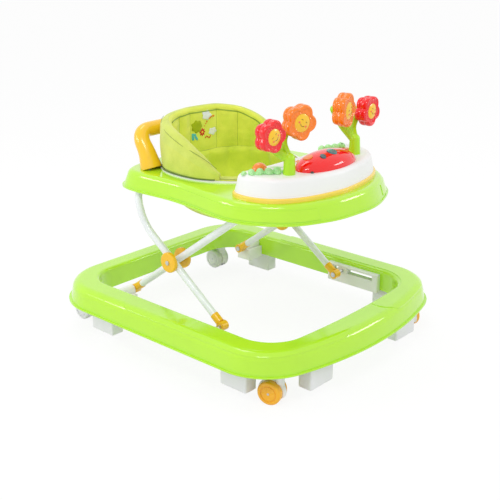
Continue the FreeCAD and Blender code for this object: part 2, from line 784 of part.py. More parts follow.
def back_pad():
    """Padded wall round the back and sides of the seat, lower towards the wing tips."""
    bottom = tray_top + seat_ring_thickness + back_pad_gap
    outer = prism(seat_outline(-back_pad_overhang, bottom), back_pad_top - bottom)
    inner_inset = back_pad_thickness - back_pad_overhang
    inner = prism(seat_outline(inner_inset, bottom - 1), back_pad_top - bottom + 2)
    outline = [(wing_tip_y, bottom - 1)]
    outline += [(wing_tip_y + back, back_pad_top - fall) for back, fall in wing_crest]
    outline += [(ring_rear_y, back_pad_top), (ring_rear_y, bottom - 1)]
    profile = [Vector(-base_width / 2, y, z) for y, z in outline]
    side_shape = Part.Face(Part.makePolygon(profile + profile[:1])).extrude(Vector(base_width, 0, 0))
    return outer.cut(inner).common(side_shape)


def pouch_form(inset, bottom, top):
    wires = []
    collar_inset = seat_fit + seat_collar + pouch_fit
    for depth, scale in pouch_sections:
        wires.append(seat_outline(collar_inset + inset, top - depth * (top - bottom), scale))
    return loft(wires, False)


def seat_pouch():
    top = tray_top
    outer = pouch_form(0, pouch_bottom, top)
    inner = pouch_form(pouch_wall, pouch_bottom + pouch_wall, top + 0.5)
    shell = outer.cut(inner)
    for side in sides.values():
        start = Vector(side * leg_hole_start[0], leg_hole_start[1], leg_hole_start[2])
        end = Vector(side * leg_hole_end[0], leg_hole_end[1], leg_hole_end[2])
        shell = shell.cut(rod(leg_hole_radius, start, end))
    return shell


# Push handle

def push_handle():
    base = Vector(handle_leg_x, handle_base_y, tray_top)
    knee = Vector(handle_leg_x, handle_base_y + handle_knee_back, tray_top + handle_knee_rise)
    corner = Vector(handle_leg_x, handle_bar[0], handle_bar[1])
    right = [base, knee, corner]
    left = [Vector(-point.x, point.y, point.z) for point in reversed(right)]
    path = rounded_path(right + left, [handle_knee_radius, handle_corner_radius, handle_corner_radius,
                                       handle_knee_radius])
    grip = sweep(path, handle_radius)
    flare = Part.makeCone(handle_radius + handle_flare, handle_radius - handle_flare_blend,
                          handle_flare_height, base, knee - base)
    flares = [flare, mirrored(flare)]
    body = grip.fuse(flares)
    body = body.common(box((-base_width, base_width), (0, base_length), (tray_top, tray_top * 2)))
    for x, y in handle_screw_places():
        for side in sides.values():
            body = body.cut(z_rod(screw_radius, side * x, y, tray_top - 1, tray_top + handle_screw_depth))
    return body


# Toy console

def console_rim():
    outer = prism(console_outline(-rim_proud, tray_top), rim_height)
    outer = round_edges(outer, 3.0, level_at(console_base))
    well = prism(console_outline(9.0, tray_top + console_wall), rim_height)
    posts = [z_rod(post_radius, x, y, tray_top + 1.0, console_base + board_lift) for x in (-post_x, post_x)
             for y in (board_y - post_y, board_y + post_y)]
    return outer.cut(well).fuse(posts)


def console_shell():
    body = loft([console_outline(0, console_base), console_outline(console_draft, console_top)])
    body = round_edges(body, console_round, level_at(console_top))
    cavity = loft([console_outline(console_wall, console_base - 0.01),
                   console_outline(console_draft + console_wall, console_top - console_wall)])
    cavity = round_edges(cavity, console_round - console_wall, level_at(console_top - console_wall))
    x, y = roller_place
    socket = Part.makeSphere(roller_radius + roller_gap, Vector(x, y, console_top))
    pin_seat = x_rod(roller_pin / 2, x - roller_radius - 4.0, x + roller_radius + 4.0, y, console_top)
    return body.cut(cavity).cut(socket).cut(pin_seat)


def ellipsoid(centre, half):
    sphere = Part.makeSphere(1.0)
    scale = Matrix()
    scale.scale(half[0], half[1], half[2])
    ball = sphere.transformGeometry(scale)
    ball.translate(centre)
    return ball


def ladybird_dome(grow):
    centre = Vector(ladybird_centre[0], ladybird_centre[1], console_top)
    ball = ellipsoid(centre, [half + grow for half in ladybird_half])
    return ball.common(box((-200, 200), (-400, 0), (console_top, console_top + 100)))


def button(place, radius, grow=0.0):
    return z_rod(radius + grow, place[0], place[1], console_top + 2.0, console_top + 60.0)


buttons = {
    "button_large": ((2.0, -218.0), 10.5),
    "button_small": ((-32.0, -222.0), 6.0),
    "button_orange": ((-53.0, -200.0), 9.5)}


def ladybird_cover():
    cover = ladybird_dome(0).cut(ladybird_dome(-ladybird_wall))
    for place, radius in buttons.values():
        cover = cover.cut(button(place, radius, button_gap))
    return cover


def button_cap(place, radius):
    raised = ladybird_dome(button_raise)
    return button(place, radius).common(raised)


def circuit_board():
    z = console_base + board_lift
    half_x = board_size[0] / 2
    half_y = board_size[1] / 2
    return box((-half_x, half_x), (board_y - half_y, board_y + half_y), (z, z + board_thickness))


def speaker():
    return z_rod(speaker_radius, speaker_place[0], speaker_place[1],
                 tray_top + console_wall, tray_top + speaker_top)


def battery_cover():
    x_span = (-cover_size[0] / 2, cover_size[0] / 2)
    y_span = (cover_y - cover_size[1] / 2, cover_y + cover_size[1] / 2)
    top = tray_top - tray_wall
    cover = box(x_span, y_span, (top - cover_depth, top))
    return round_edges(cover, 4.0, lambda edge: edge.BoundBox.ZMax < top)


# Flowers

flowers = {
    "left_red": (-1.0, Vector(161.5, -205.5, 507.0), 4.0, 0.90, (131.0, -173.0, 474.0)),
    "left_orange": (-1.0, Vector(78.0, -205.5, 521.0), 14.0, 1.0, (99.0, -168.0, 484.0)),
    "right_orange": (1.0, Vector(78.0, -205.5, 521.0), 14.0, 1.0, (99.0, -168.0, 484.0)),
    "right_red": (1.0, Vector(161.5, -205.5, 507.0), 4.0, 0.90, (131.0, -173.0, 474.0))}


def flower_axis(side, turn):
    angle = math.radians(turn)
    return Vector(side * math.sin(angle), -math.cos(angle), 0)


def flower_place(shape, side, centre, turn):
    """Moves a shape built facing -Y at the origin to its place on the stem."""
    shape.rotate(Vector(0, 0, 0), Vector(0, 0, 1), side * turn)
    shape.translate(Vector(side * centre.x, centre.y, centre.z))
    return shape


def lobed_wire(size, y):
    count = petal_count * 6
    points = []
    for index in range(count):
        angle = 2 * math.pi * index / count
        radius = size * (petal_radius + petal_depth * math.cos(petal_count * angle))
        points.append(Vector(radius * math.sin(angle), y, radius * math.cos(angle)))
    curve = Part.BSplineCurve()
    curve.interpolate(Points=points, PeriodicFlag=True)
    return Part.Wire(curve.toShape())


def flower_petals(side, centre, turn, size, branch):
    body = Part.Face(lobed_wire(size, 0)).extrude(Vector(0, flower_depth, 0))
    body = round_edges(body, petal_round, lambda edge: edge.BoundBox.YLength < 0.01)
    body = body.cut(rod(face_radius * size, Vector(0, -1, 0), Vector(0, face_recess, 0)))
    body = body.cut(rod(spindle_diameter / 2, Vector(0, -1, 0), Vector(0, flower_depth + 1, 0)))
    return flower_place(body, side, centre, turn)


def flower_face(side, centre, turn, size, branch):
    radius = face_radius * size - 0.1
    ball_radius = (radius ** 2 + face_dome ** 2) / (2 * face_dome)
    ball = Part.makeSphere(ball_radius, Vector(0, ball_radius - face_dome + face_recess, 0))
    dome = ball.common(rod(radius, Vector(0, -face_dome, 0), Vector(0, face_recess, 0)))
    spindle = rod(spindle_diameter / 2, Vector(0, face_recess - 1, 0),
                  Vector(0, flower_depth + flower_gap + spindle_depth, 0))
    return flower_place(dome.fuse(spindle), side, centre, turn)


def branch_end(side, centre, turn):
    axis = flower_axis(side, turn)
    base = Vector(side * centre.x, centre.y, centre.z)
    front = flower_depth + flower_gap
    return base - axis * front, base - axis * (front + spindle_depth + 3)


def flower_stem():
    """Left stem: a trunk that parts into one branch behind each of its two flowers."""
    side = sides["left"]
    base = Vector(side * stem_base[0], stem_base[1], console_top)
    trunk_top = base + Vector(0, 0, stem_height)
    trunk = Part.makeCone(stem_base_radius, stem_top_radius, stem_height, base, Vector(0, 0, 1))
    pieces = [Part.makeSphere(stem_top_radius, trunk_top)]
    bores = []
    for own_side, centre, turn, size, branch in flowers.values():
        if own_side == side:
            front, back = branch_end(side, centre, turn)
            elbow = Vector(side * branch[0], branch[1], branch[2])
            path = rounded_path([trunk_top - Vector(0, 0, 4), elbow, back], [branch_bend])
            pieces.append(sweep(path, branch_radius))
            pieces.append(Part.makeSphere(branch_radius, back))
            pieces.append(rod(branch_radius, back, front))
            bore_start = back + (front - back) * 0.12
            bores.append(rod(spindle_diameter / 2 + running_clearance, bore_start, front * 2 - back))
    return trunk.fuse(pieces).cut(bores)


# Small toys on the console

def grub(tail, head):
    """Row of round body segments that grow towards the head."""
    start = Vector(tail[0], tail[1], console_top + grub_lift)
    end = Vector(head[0], head[1], console_top + grub_lift)
    last = len(grub_radii) - 1
    balls = [Part.makeSphere(radius, start + (end - start) * (index / last))
             for index, radius in enumerate(grub_radii)]
    above = box((-base_width, base_width), (-base_length, base_length), (console_top, console_top + 80))
    return balls[0].fuse(balls[1:]).common(above)


def roller_ball():
    x, y = roller_place
    ball = Part.makeSphere(roller_radius, Vector(x, y, console_top), Vector(1, 0, 0))
    return ball.cut(x_rod(roller_pin / 2 + running_clearance, x - 40, x + 40, y, console_top))


def roller_pin_rod():
    x, y = roller_place
    reach = roller_radius + 4.0
    return x_rod(roller_pin / 2, x - reach, x + reach, y, console_top)


def grub_feet():
    tail, head = grubs["right"]
    start = Vector(tail[0], tail[1] - feet_offset, console_top)
    end = Vector(head[0], head[1] - feet_offset, console_top)
    radius = feet_width / 2
    run = (end - start).normalize()
    normal = Vector(-run.y, run.x, 0) * radius
    corners = [start + normal, end + normal, end - normal, start - normal, start + normal]
    slab = Part.Face(Part.makePolygon(corners)).extrude(Vector(0, 0, feet_height))
    ends = [Part.makeCylinder(radius, feet_height, place) for place in (start, end)]
    return slab.fuse(ends)


def main():
    os.makedirs("parts", exist_ok=True)
    ring = base_ring()
    export("base_ring", ring)
    export("slide_rails", pair(slide_rail()))
    export("rear_brackets", pair(rear_bracket()))
    export("stop_feet_front", pair(stop_foot(front_foot, front_foot_place).cut(ring)))
    side_feet = [pair(stop_foot(side_foot, (side_foot_x, y)).cut(ring)) for y in side_foot_y]
    export("stop_feet_side", Part.makeCompound(side_feet))
    sockets = []
    rows = (("front", front_caster, front_caster_turn), ("rear", rear_caster, rear_caster_turn))
    for row, place, turn in rows:
        for side_name, side in sides.items():
            spot = (side * place[0], place[1])
            angle = -side * turn
            name = row + "_" + side_name
            export("caster_fork_" + name, turned(caster_fork(), spot, angle))
            export("caster_wheels_" + name, turned(caster_wheels(), spot, angle))
            export("caster_axle_" + name, turned(caster_axle(), spot, angle))
            sockets.append(turned(caster_socket(), spot, 0.0).cut(ring))
    export("caster_sockets", Part.makeCompound(sockets))
    export("front_leg_tube", front_leg_tube())
    export("rear_leg_tube", rear_leg_tube())
    export("front_leg_caps", pair(front_leg_cap()))
    export("rear_leg_caps", pair(rear_leg_cap()))
    inner_end = inner_leg_x - tube_radius - side_gap
    outer_end = outer_leg_x + tube_radius + side_gap
    inner_face = inner_end - hub_disc_thickness
    outer_face = outer_end + hub_disc_thickness
    export("hub_discs_inner", pair(hub_disc(inner_face, inner_end, inner_face)))
    export("hub_discs_outer", pair(hub_disc(outer_end, outer_face, outer_face)))
    export("hub_rivets", pair(hub_rivet()))
    export("rear_pivot_pins", pair(rear_pivot_pin()))
    export("slider_pins", pair(slider_pin()))
    export("slider_shoes", pair(slider_shoe()))
    export("tray_shell", tray_shell())
    export("leg_saddles", pair(leg_saddle()))
    export("height_adjusters", pair(height_adjuster()))
    screws = saddle_screw_set() + [screw(x, y, tray_top - tray_wall, tray_wall + handle_screw_depth)
                                   for x, y in handle_screw_places()]
    export("tray_screws", Part.makeCompound([pair(item) for item in screws]))
    export("seat_ring", seat_ring())
    export("seat_back_pad", back_pad())
    export("seat_pouch", seat_pouch())
    export("push_handle", push_handle())
    export("console_rim", console_rim())
    export("console_shell", console_shell())
    export("circuit_board", circuit_board())
    export("speaker", speaker())
    export("battery_cover", battery_cover())
    export("ladybird_cover", ladybird_cover())
    for name, (place, radius) in buttons.items():
        export(name, button_cap(place, radius))
    stem = flower_stem()
    export("flower_stem_left", stem)
    export("flower_stem_right", mirrored(stem))
    for name, flower in flowers.items():
        export("flower_petals_" + name, flower_petals(*flower))
        export("flower_face_" + name, flower_face(*flower))
    for name, (tail, head) in grubs.items():
        export("grub_" + name, grub(tail, head))
    export("grub_feet", grub_feet())
    export("roller_ball", roller_ball())
    export("roller_pin", roller_pin_rod())


main()
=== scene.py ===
"""Looks of the baby walker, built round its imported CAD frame.

Metres, in the frame's own axes: X across, the child faces -Y, +Z up.  Sizes written in millimetres are
multiplied by MM where they are used.
"""

import json
import math

import bmesh
import bpy
import numpy as np
from mathutils import Matrix, Vector, noise


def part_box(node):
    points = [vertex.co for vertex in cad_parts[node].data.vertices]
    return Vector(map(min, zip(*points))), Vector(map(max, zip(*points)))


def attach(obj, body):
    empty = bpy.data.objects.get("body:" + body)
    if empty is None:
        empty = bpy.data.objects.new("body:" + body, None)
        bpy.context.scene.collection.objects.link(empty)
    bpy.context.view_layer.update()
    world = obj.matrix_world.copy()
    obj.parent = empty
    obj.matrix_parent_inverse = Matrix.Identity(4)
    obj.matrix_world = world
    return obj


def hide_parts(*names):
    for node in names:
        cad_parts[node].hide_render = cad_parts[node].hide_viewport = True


MM = 0.001
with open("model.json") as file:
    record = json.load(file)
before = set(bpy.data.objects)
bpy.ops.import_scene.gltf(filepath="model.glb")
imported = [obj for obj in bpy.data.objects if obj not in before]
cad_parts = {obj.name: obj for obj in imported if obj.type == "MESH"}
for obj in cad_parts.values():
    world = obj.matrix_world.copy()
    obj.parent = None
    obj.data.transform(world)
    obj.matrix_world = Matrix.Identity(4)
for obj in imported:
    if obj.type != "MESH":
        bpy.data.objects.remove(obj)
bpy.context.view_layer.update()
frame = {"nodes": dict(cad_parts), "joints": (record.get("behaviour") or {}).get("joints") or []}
cad = frame["nodes"]
joints = {joint["name"]: joint for joint in frame["joints"]}


# Material nodes

def srgb(red, green, blue):
    """A colour as it should look, 0 to 255, as the linear values that shaders take."""
    linear = []
    for value in (red, green, blue):
        share = value / 255
        linear.append(share / 12.92 if share <= 0.04045 else ((share + 0.055) / 1.055) ** 2.4)
    return (*linear, 1.0)


def shade(colour, factor):
    return (*[min(1.0, value * factor) for value in colour[:3]], 1.0)


def add(tree, kind, inputs=None, **settings):
    """Adds a shader node; an input is either a value or the socket that feeds it."""
    made = tree.nodes.new("ShaderNode" + kind)
    for key, value in settings.items():
        setattr(made, key, value)
    for key, value in (inputs or {}).items():
        if isinstance(value, bpy.types.NodeSocket):
            tree.links.new(value, made.inputs[key])
        else:
            made.inputs[key].default_value = value
    return made


def start_material(name):
    material = bpy.data.materials.new(name)
    material.use_nodes = True
    tree = material.node_tree
    place = add(tree, "TexCoord").outputs["Object"]
    return material, tree, tree.nodes["Principled BSDF"], place


def ramp(tree, factor, low_colour, high_colour, low=0.3, high=0.7):
    made = add(tree, "ValToRGB", {"Fac": factor})
    elements = made.color_ramp.elements
    elements[0].position, elements[0].color = low, low_colour
    elements[1].position, elements[1].color = high, high_colour
    return made.outputs["Color"]


def spread(tree, factor, low, high):
    made = add(tree, "MapRange", {"Value": factor, "From Min": 0.3, "From Max": 0.7,
                                  "To Min": low, "To Max": high})
    return made.outputs["Result"]


def total(tree, first, second, operation="ADD"):
    return add(tree, "Math", {0: first, 1: second}, operation=operation).outputs[0]


def bumped(tree, bsdf, height, distance, strength=1.0, edge=0.0):
    """Bump from a height; an edge above 0 also rounds the hard edges of a CAD solid by that radius."""
    inputs = {"Height": height, "Distance": distance, "Strength": strength}
    if edge:
        inputs["Normal"] = add(tree, "Bevel", {"Radius": edge}, samples=4).outputs["Normal"]
    tree.links.new(add(tree, "Bump", inputs).outputs["Normal"], bsdf.inputs["Normal"])


def plastic(name, colour, roughness, grain=0.00002, coat=0.0, cloud=0.05, edge=0.0004, scuff=0.15,
            glow=0.0):
    """Moulded plastic: faint flow clouds in the colour, fine grain, and gloss that varies where it is handled."""
    material, tree, bsdf, place = start_material(name)
    flow = add(tree, "TexNoise", {"Vector": place, "Scale": 14.0, "Detail": 4.0, "Roughness": 0.6})
    speck = add(tree, "TexNoise", {"Vector": place, "Scale": 900.0, "Detail": 2.0})
    wear = add(tree, "TexNoise", {"Vector": place, "Scale": 55.0, "Detail": 6.0, "Distortion": 1.5})
    tint = ramp(tree, flow.outputs["Fac"], shade(colour, 1 - cloud), shade(colour, 1 + cloud))
    tree.links.new(tint, bsdf.inputs["Base Color"])
    rough = spread(tree, wear.outputs["Fac"], roughness * (1 - scuff), roughness * (1 + scuff))
    tree.links.new(rough, bsdf.inputs["Roughness"])
    bsdf.inputs["Coat Weight"].default_value = coat
    bsdf.inputs["Coat Roughness"].default_value = 0.08
    if glow:
        bsdf.inputs["Subsurface Weight"].default_value = glow
        bsdf.inputs["Subsurface Radius"].default_value = (0.004, 0.004, 0.002)
        bsdf.inputs["Subsurface Scale"].default_value = 1.0
    height = total(tree, speck.outputs["Fac"], total(tree, flow.outputs["Fac"], 4.0, "MULTIPLY"))
    bumped(tree, bsdf, height, grain, edge=edge)
    return material


def powder_coat(name, colour):
    """Powder-coated tube: orange-peel texture under a soft gloss."""
    material, tree, bsdf, place = start_material(name)
    peel = add(tree, "TexNoise", {"Vector": place, "Scale": 420.0, "Detail": 2.0})
    cloud = add(tree, "TexNoise", {"Vector": place, "Scale": 22.0, "Detail": 5.0})
    tint = ramp(tree, cloud.outputs["Fac"], shade(colour, 0.95), shade(colour, 1.03))
    tree.links.new(tint, bsdf.inputs["Base Color"])
    tree.links.new(spread(tree, cloud.outputs["Fac"], 0.22, 0.34), bsdf.inputs["Roughness"])
    bsdf.inputs["Coat Weight"].default_value = 0.3
    bumped(tree, bsdf, peel.outputs["Fac"], 0.00008)
    return material


def metal(name, colour, roughness):
    """Zinc-plated steel with fine turning marks and dull patches."""
    material, tree, bsdf, place = start_material(name)
    patch = add(tree, "TexNoise", {"Vector": place, "Scale": 160.0, "Detail": 5.0})
    turning = add(tree, "TexWave", {"Vector": place, "Scale": 500.0, "Distortion": 2.0},
                  bands_direction="X")
    tint = ramp(tree, patch.outputs["Fac"], shade(colour, 0.8), shade(colour, 1.1))
    tree.links.new(tint, bsdf.inputs["Base Color"])
    tree.links.new(spread(tree, patch.outputs["Fac"], roughness, roughness * 1.7),
                   bsdf.inputs["Roughness"])
    bsdf.inputs["Metallic"].default_value = 1.0
    bumped(tree, bsdf, turning.outputs["Fac"], 0.00003, edge=0.0003)
    return material


def fabric(name, colour, deep, thread=0.0011, relief=0.00022, sheen=0.35):
    """Plain-woven polyester: threads crossing on all three axes, slubs, soft creases and sheen. The colour is
    darker in the crease hollows, which is painted shade, and varies with the slubs' own tone.
    """
    material, tree, bsdf, place = start_material(name)
    scale = math.tau / (20 * thread)
    warp = [add(tree, "TexWave", {"Vector": place, "Scale": scale, "Distortion": 0.6,
                                  "Detail": 1.0, "Detail Scale": 2.0}, bands_direction=axis)
            for axis in "XYZ"]
    weave = total(tree, total(tree, warp[0].outputs["Fac"], warp[1].outputs["Fac"]),
                  warp[2].outputs["Fac"])
    slub = add(tree, "TexNoise", {"Vector": place, "Scale": 380.0, "Detail": 3.0})
    crease = add(tree, "TexNoise", {"Vector": place, "Scale": 26.0, "Detail": 4.0, "Roughness": 0.55})
    # Colour mix: crease noise darkens the crease hollows as painted shade, and slub noise adds the yarn's own
    # uneven tone.
    crease_shade_and_slub = total(tree, total(tree, crease.outputs["Fac"], 0.75, "MULTIPLY"),
                   total(tree, slub.outputs["Fac"], 0.25, "MULTIPLY"))
    tint = ramp(tree, crease_shade_and_slub, deep, colour, 0.32, 0.62)
    tree.links.new(tint, bsdf.inputs["Base Color"])
    tree.links.new(spread(tree, slub.outputs["Fac"], 0.78, 0.95), bsdf.inputs["Roughness"])
    bsdf.inputs["Sheen Weight"].default_value = sheen
    bsdf.inputs["Sheen Roughness"].default_value = 0.5
    bsdf.inputs["Specular IOR Level"].default_value = 0.25
    height = total(tree, total(tree, weave, 0.6, "MULTIPLY"), slub.outputs["Fac"])
    height = total(tree, height, total(tree, crease.outputs["Fac"], 9.0, "MULTIPLY"))
    bumped(tree, bsdf, height, relief)
    return material


def knobbly(name, colour, deep):
    """Soft-touch plastic moulded with small round knobs. The colour darkens in the hollows between the knobs,
    which is painted shade, under a random cloud.
    """
    material, tree, bsdf, place = start_material(name)
    knobs = add(tree, "TexVoronoi", {"Vector": place, "Scale": 520.0}, feature="SMOOTH_F1")
    cloud = add(tree, "TexNoise", {"Vector": place, "Scale": 90.0, "Detail": 3.0})
    # Painted shade: the hollows between the knobs turn to the darker second colour.
    tint = ramp(tree, total(tree, knobs.outputs["Distance"], cloud.outputs["Fac"], "MULTIPLY"),
                colour, deep, 0.1, 0.5)
    tree.links.new(tint, bsdf.inputs["Base Color"])
    tree.links.new(spread(tree, cloud.outputs["Fac"], 0.35, 0.5), bsdf.inputs["Roughness"])
    height = total(tree, knobs.outputs["Distance"], -1.0, "MULTIPLY")
    bumped(tree, bsdf, height, 0.0012)
    return material


green = plastic("green_plastic", srgb(186, 240, 40), 0.13, coat=0.6, cloud=0.02)
white_satin = plastic("white_plastic", srgb(244, 245, 244), 0.38, cloud=0.015)
white_foot = plastic("white_foot_plastic", srgb(240, 241, 243), 0.5, cloud=0.02, grain=0.00005)
white_wheel = plastic("white_wheel_plastic", srgb(236, 237, 238), 0.42, cloud=0.03, scuff=0.35)
white_ring = plastic("white_ring_plastic", srgb(240, 242, 240), 0.35, cloud=0.02)
handle_yellow = plastic("handle_yellow_plastic", srgb(255, 200, 30), 0.22, coat=0.4, cloud=0.03)
hub_yellow = plastic("hub_yellow_plastic", srgb(255, 194, 24), 0.3, coat=0.2)
wheel_orange = plastic("wheel_orange_plastic", srgb(255, 184, 24), 0.3, coat=0.25, scuff=0.35)
rim_yellow = plastic("rim_yellow_plastic", srgb(255, 218, 78), 0.24, coat=0.4)
petal_red = plastic("petal_red_plastic", srgb(244, 22, 28), 0.16, coat=0.3, cloud=0.02, edge=0.0)
petal_orange = plastic("petal_orange_plastic", srgb(255, 130, 10), 0.16, coat=0.3, cloud=0.02, edge=0.0)
face_yellow = plastic("face_yellow_plastic", srgb(255, 200, 30), 0.22, coat=0.3, edge=0.0)
stem_green = plastic("stem_green_plastic", srgb(178, 232, 24), 0.3, coat=0.15, cloud=0.02)
ladybird_red = plastic("ladybird_red_plastic", srgb(246, 14, 16), 0.1, coat=0.4, cloud=0.02, edge=0.0)
button_teal = plastic("button_teal_plastic", srgb(62, 138, 140), 0.2, coat=0.6, cloud=0.3, edge=0.0003)
button_dark = plastic("button_dark_plastic", srgb(52, 92, 98), 0.22, coat=0.6, cloud=0.25, edge=0.0003)
button_orange_look = plastic("button_orange_plastic", srgb(240, 128, 28), 0.22, coat=0.6, edge=0.0003)
ball_orange = plastic("ball_orange_plastic", srgb(255, 138, 40), 0.25, coat=0.4, edge=0.0)
inlay_orange = plastic("inlay_orange_plastic", srgb(255, 132, 66), 0.3, edge=0.0)
inlay_mint = plastic("inlay_mint_plastic", srgb(190, 240, 170), 0.35, edge=0.0)
foot_black = plastic("foot_black_plastic", srgb(46, 48, 50), 0.3, coat=0.3, edge=0.0)
line_brown = plastic("line_brown_print", srgb(96, 54, 22), 0.4, edge=0.0)
cheek_pink = plastic("cheek_pink_print", srgb(252, 122, 84), 0.4, edge=0.0)
# Second colour: painted shade in the hollows between the knobs.
mint = knobbly("mint_plastic", srgb(196, 250, 180), srgb(158, 238, 150))
tube_white = powder_coat("white_tube_coat", srgb(240, 243, 246))
zinc = metal("zinc_steel", srgb(206, 208, 210), 0.3)
dark_metal = metal("dark_steel", srgb(120, 122, 126), 0.35)
board_green = plastic("circuit_board_laminate", srgb(30, 110, 60), 0.4, cloud=0.2)
black_satin = plastic("black_plastic", srgb(30, 30, 32), 0.5)
# The second colour of each fabric is the painted shade in its crease hollows, mixed with the slubs' own tone.
pad_shell = fabric("seat_outer_fabric", srgb(224, 234, 104), srgb(206, 220, 84))
pad_band = fabric("seat_band_fabric", srgb(222, 234, 112), srgb(204, 220, 90))
# Lining and pouch are lighter than the outer fabric to make up for the shade inside the seat: painted light.
pad_lining_painted_light = fabric("seat_lining_fabric", srgb(238, 246, 94), srgb(218, 234, 76))
pouch_fabric_painted_light = fabric("seat_pouch_fabric", srgb(236, 248, 94), srgb(216, 236, 76))
piping = fabric("seat_piping_fabric", srgb(150, 178, 62), srgb(128, 158, 50), relief=0.0001)
seam_thread = fabric("seam_thread_fabric", srgb(112, 140, 40), srgb(90, 118, 30), relief=0.0001)
channel_thread = fabric("channel_thread_fabric", srgb(158, 184, 54), srgb(138, 166, 44), relief=0.0001)
binding = fabric("leg_binding_fabric", srgb(214, 226, 112), srgb(196, 212, 90))
print_white = fabric("print_white_fabric", srgb(246, 249, 248), srgb(226, 236, 238), sheen=0.1)
print_red = fabric("print_red_fabric", srgb(226, 66, 38), srgb(200, 50, 28), sheen=0.1)
print_bush = fabric("print_bush_fabric", srgb(186, 200, 20), srgb(162, 182, 14), sheen=0.1)
print_blue = fabric("print_blue_fabric", srgb(104, 206, 206), srgb(80, 186, 190), sheen=0.1)
print_orange = fabric("print_orange_fabric", srgb(240, 138, 44), srgb(226, 112, 30), sheen=0.1)
print_yellow = fabric("print_yellow_fabric", srgb(252, 214, 60), srgb(240, 196, 40), sheen=0.1)

looks = {
    "base_ring": green, "tray_shell": green, "slide_rails": white_satin, "rear_brackets": white_satin,
    "stop_feet_front": white_foot, "stop_feet_side": white_foot, "caster_sockets": white_satin,
    "front_leg_tube": tube_white, "rear_leg_tube": tube_white,
    "front_leg_caps": hub_yellow, "rear_leg_caps": hub_yellow,
    "hub_discs_inner": hub_yellow, "hub_discs_outer": hub_yellow, "hub_rivets": zinc,
    "rear_pivot_pins": zinc, "slider_pins": zinc, "slider_shoes": white_satin,
    "leg_saddles": white_satin, "height_adjusters": white_satin, "tray_screws": dark_metal,
    "seat_ring": white_ring, "push_handle": handle_yellow,
    "console_rim": rim_yellow, "console_shell": white_satin, "circuit_board": board_green,
    "speaker": black_satin, "battery_cover": white_satin, "ladybird_cover": ladybird_red,
    "button_large": button_teal, "button_small": button_dark, "button_orange": button_orange_look,
    "flower_stem_left": stem_green, "flower_stem_right": stem_green,
    "grub_feet": ball_orange, "roller_ball": ball_orange, "roller_pin": zinc}
for node_name, cad_object in cad.items():
    if node_name.startswith("caster_fork"):
        look = white_satin
    elif node_name.startswith("caster_wheels"):
        look = wheel_orange if "front" in node_name else white_wheel
    elif node_name.startswith("caster_axle"):
        look = zinc
    elif node_name.startswith("flower_face"):
        look = face_yellow
    else:
        look = looks.get(node_name, green)
    cad_object.data.materials.clear()
    cad_object.data.materials.append(look)


# Mesh helpers

def piece(name, points, faces, body, *materials, slot=None):
    """A mesh piece in the frame's axes that rides on a body."""
    mesh = bpy.data.meshes.new(name)
    mesh.from_pydata([tuple(point) for point in points], [], faces)
    build = bmesh.new()
    build.from_mesh(mesh)
    bmesh.ops.recalc_face_normals(build, faces=build.faces)
    build.to_mesh(mesh)
    build.free()
    mesh.polygons.foreach_set("use_smooth", [True] * len(mesh.polygons))
    made = bpy.data.objects.new(name, mesh)
    bpy.context.scene.collection.objects.link(made)
    for material in materials:
        mesh.materials.append(material)
    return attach(made, body)


def grid_faces(rows, columns, close_rows=False, close_columns=False):
    """Quads over points stored row by row."""
    faces = []
    for row in range(rows if close_rows else rows - 1):
        for column in range(columns if close_columns else columns - 1):
            next_row = (row + 1) % rows
            next_column = (column + 1) % columns
            faces.append((row * columns + column, row * columns + next_column,
                          next_row * columns + next_column, next_row * columns + column))
    return faces


def tube(name, points, radius, body, material, closed=False, sides=3):
    """A round bead along points, made as a curve and kept as a mesh."""
    curve = bpy.data.curves.new(name + "_path", "CURVE")
    curve.dimensions = "3D"
    curve.bevel_depth = radius
    curve.bevel_resolution = sides
    curve.use_fill_caps = True
    spline = curve.splines.new("POLY")
    spline.points.add(len(points) - 1)
    for point, place in zip(spline.points, points):
        point.co = (*place, 1.0)
    spline.use_cyclic_u = closed
    holder = bpy.data.objects.new(name + "_curve", curve)
    bpy.context.scene.collection.objects.link(holder)
    bpy.context.view_layer.update()
    mesh = bpy.data.meshes.new_from_object(holder.evaluated_get(bpy.context.evaluated_depsgraph_get()))
    bpy.data.objects.remove(holder)
    bpy.data.curves.remove(curve)
    mesh.name = name
    mesh.polygons.foreach_set("use_smooth", [True] * len(mesh.polygons))
    mesh.materials.clear()
    mesh.materials.append(material)
    made = bpy.data.objects.new(name, mesh)
    bpy.context.scene.collection.objects.link(made)
    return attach(made, body)


# Seat: the ring's outline, as two half superellipses that share the widest line

ring_low, ring_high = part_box("seat_ring")
ring_flange = 8 * MM
seat_half_width = ring_high.x - ring_flange
widest_y = 62 * MM
rear_reach = ring_high.y - ring_flange - widest_y
front_reach = widest_y - (ring_low.y + ring_flange)
rear_power = 2.55
front_power = 2.15


def outline_point(angle):
    """Point and outward direction of the seat outline; the angle runs from +X through the rear."""
    across, along = math.cos(angle), math.sin(angle)
    reach, power = (rear_reach, rear_power) if along >= 0 else (front_reach, front_power)
    x = seat_half_width * math.copysign(abs(across) ** (2 / power), across)
    y = reach * math.copysign(abs(along) ** (2 / power), along)
    normal_x = math.copysign(abs(x / seat_half_width) ** (power - 1), x) / seat_half_width
    normal_y = math.copysign(abs(y / reach) ** (power - 1), y) / reach
    length = math.hypot(normal_x, normal_y)
    return x, widest_y + y, normal_x / length, normal_y / length


outline_table = np.array([outline_point(angle) for angle in np.linspace(-0.5, 1.5, 2401) * math.pi])
outline_step = np.hypot(*np.diff(outline_table[:, :2], axis=0).T)
outline_arc = np.concatenate([[0], np.cumsum(outline_step)])
outline_length = outline_arc[-1]
outline_arc = outline_arc - outline_length / 2


def outline_at(arc, offset):
    """Place on the seat outline; arc is 0 at the rear and grows towards the left, offset is outward."""
    x, y, normal_x, normal_y = [np.interp(arc, outline_arc, column) for column in outline_table.T]
    return np.array([x + normal_x * offset, y + normal_y * offset])


# Back pad

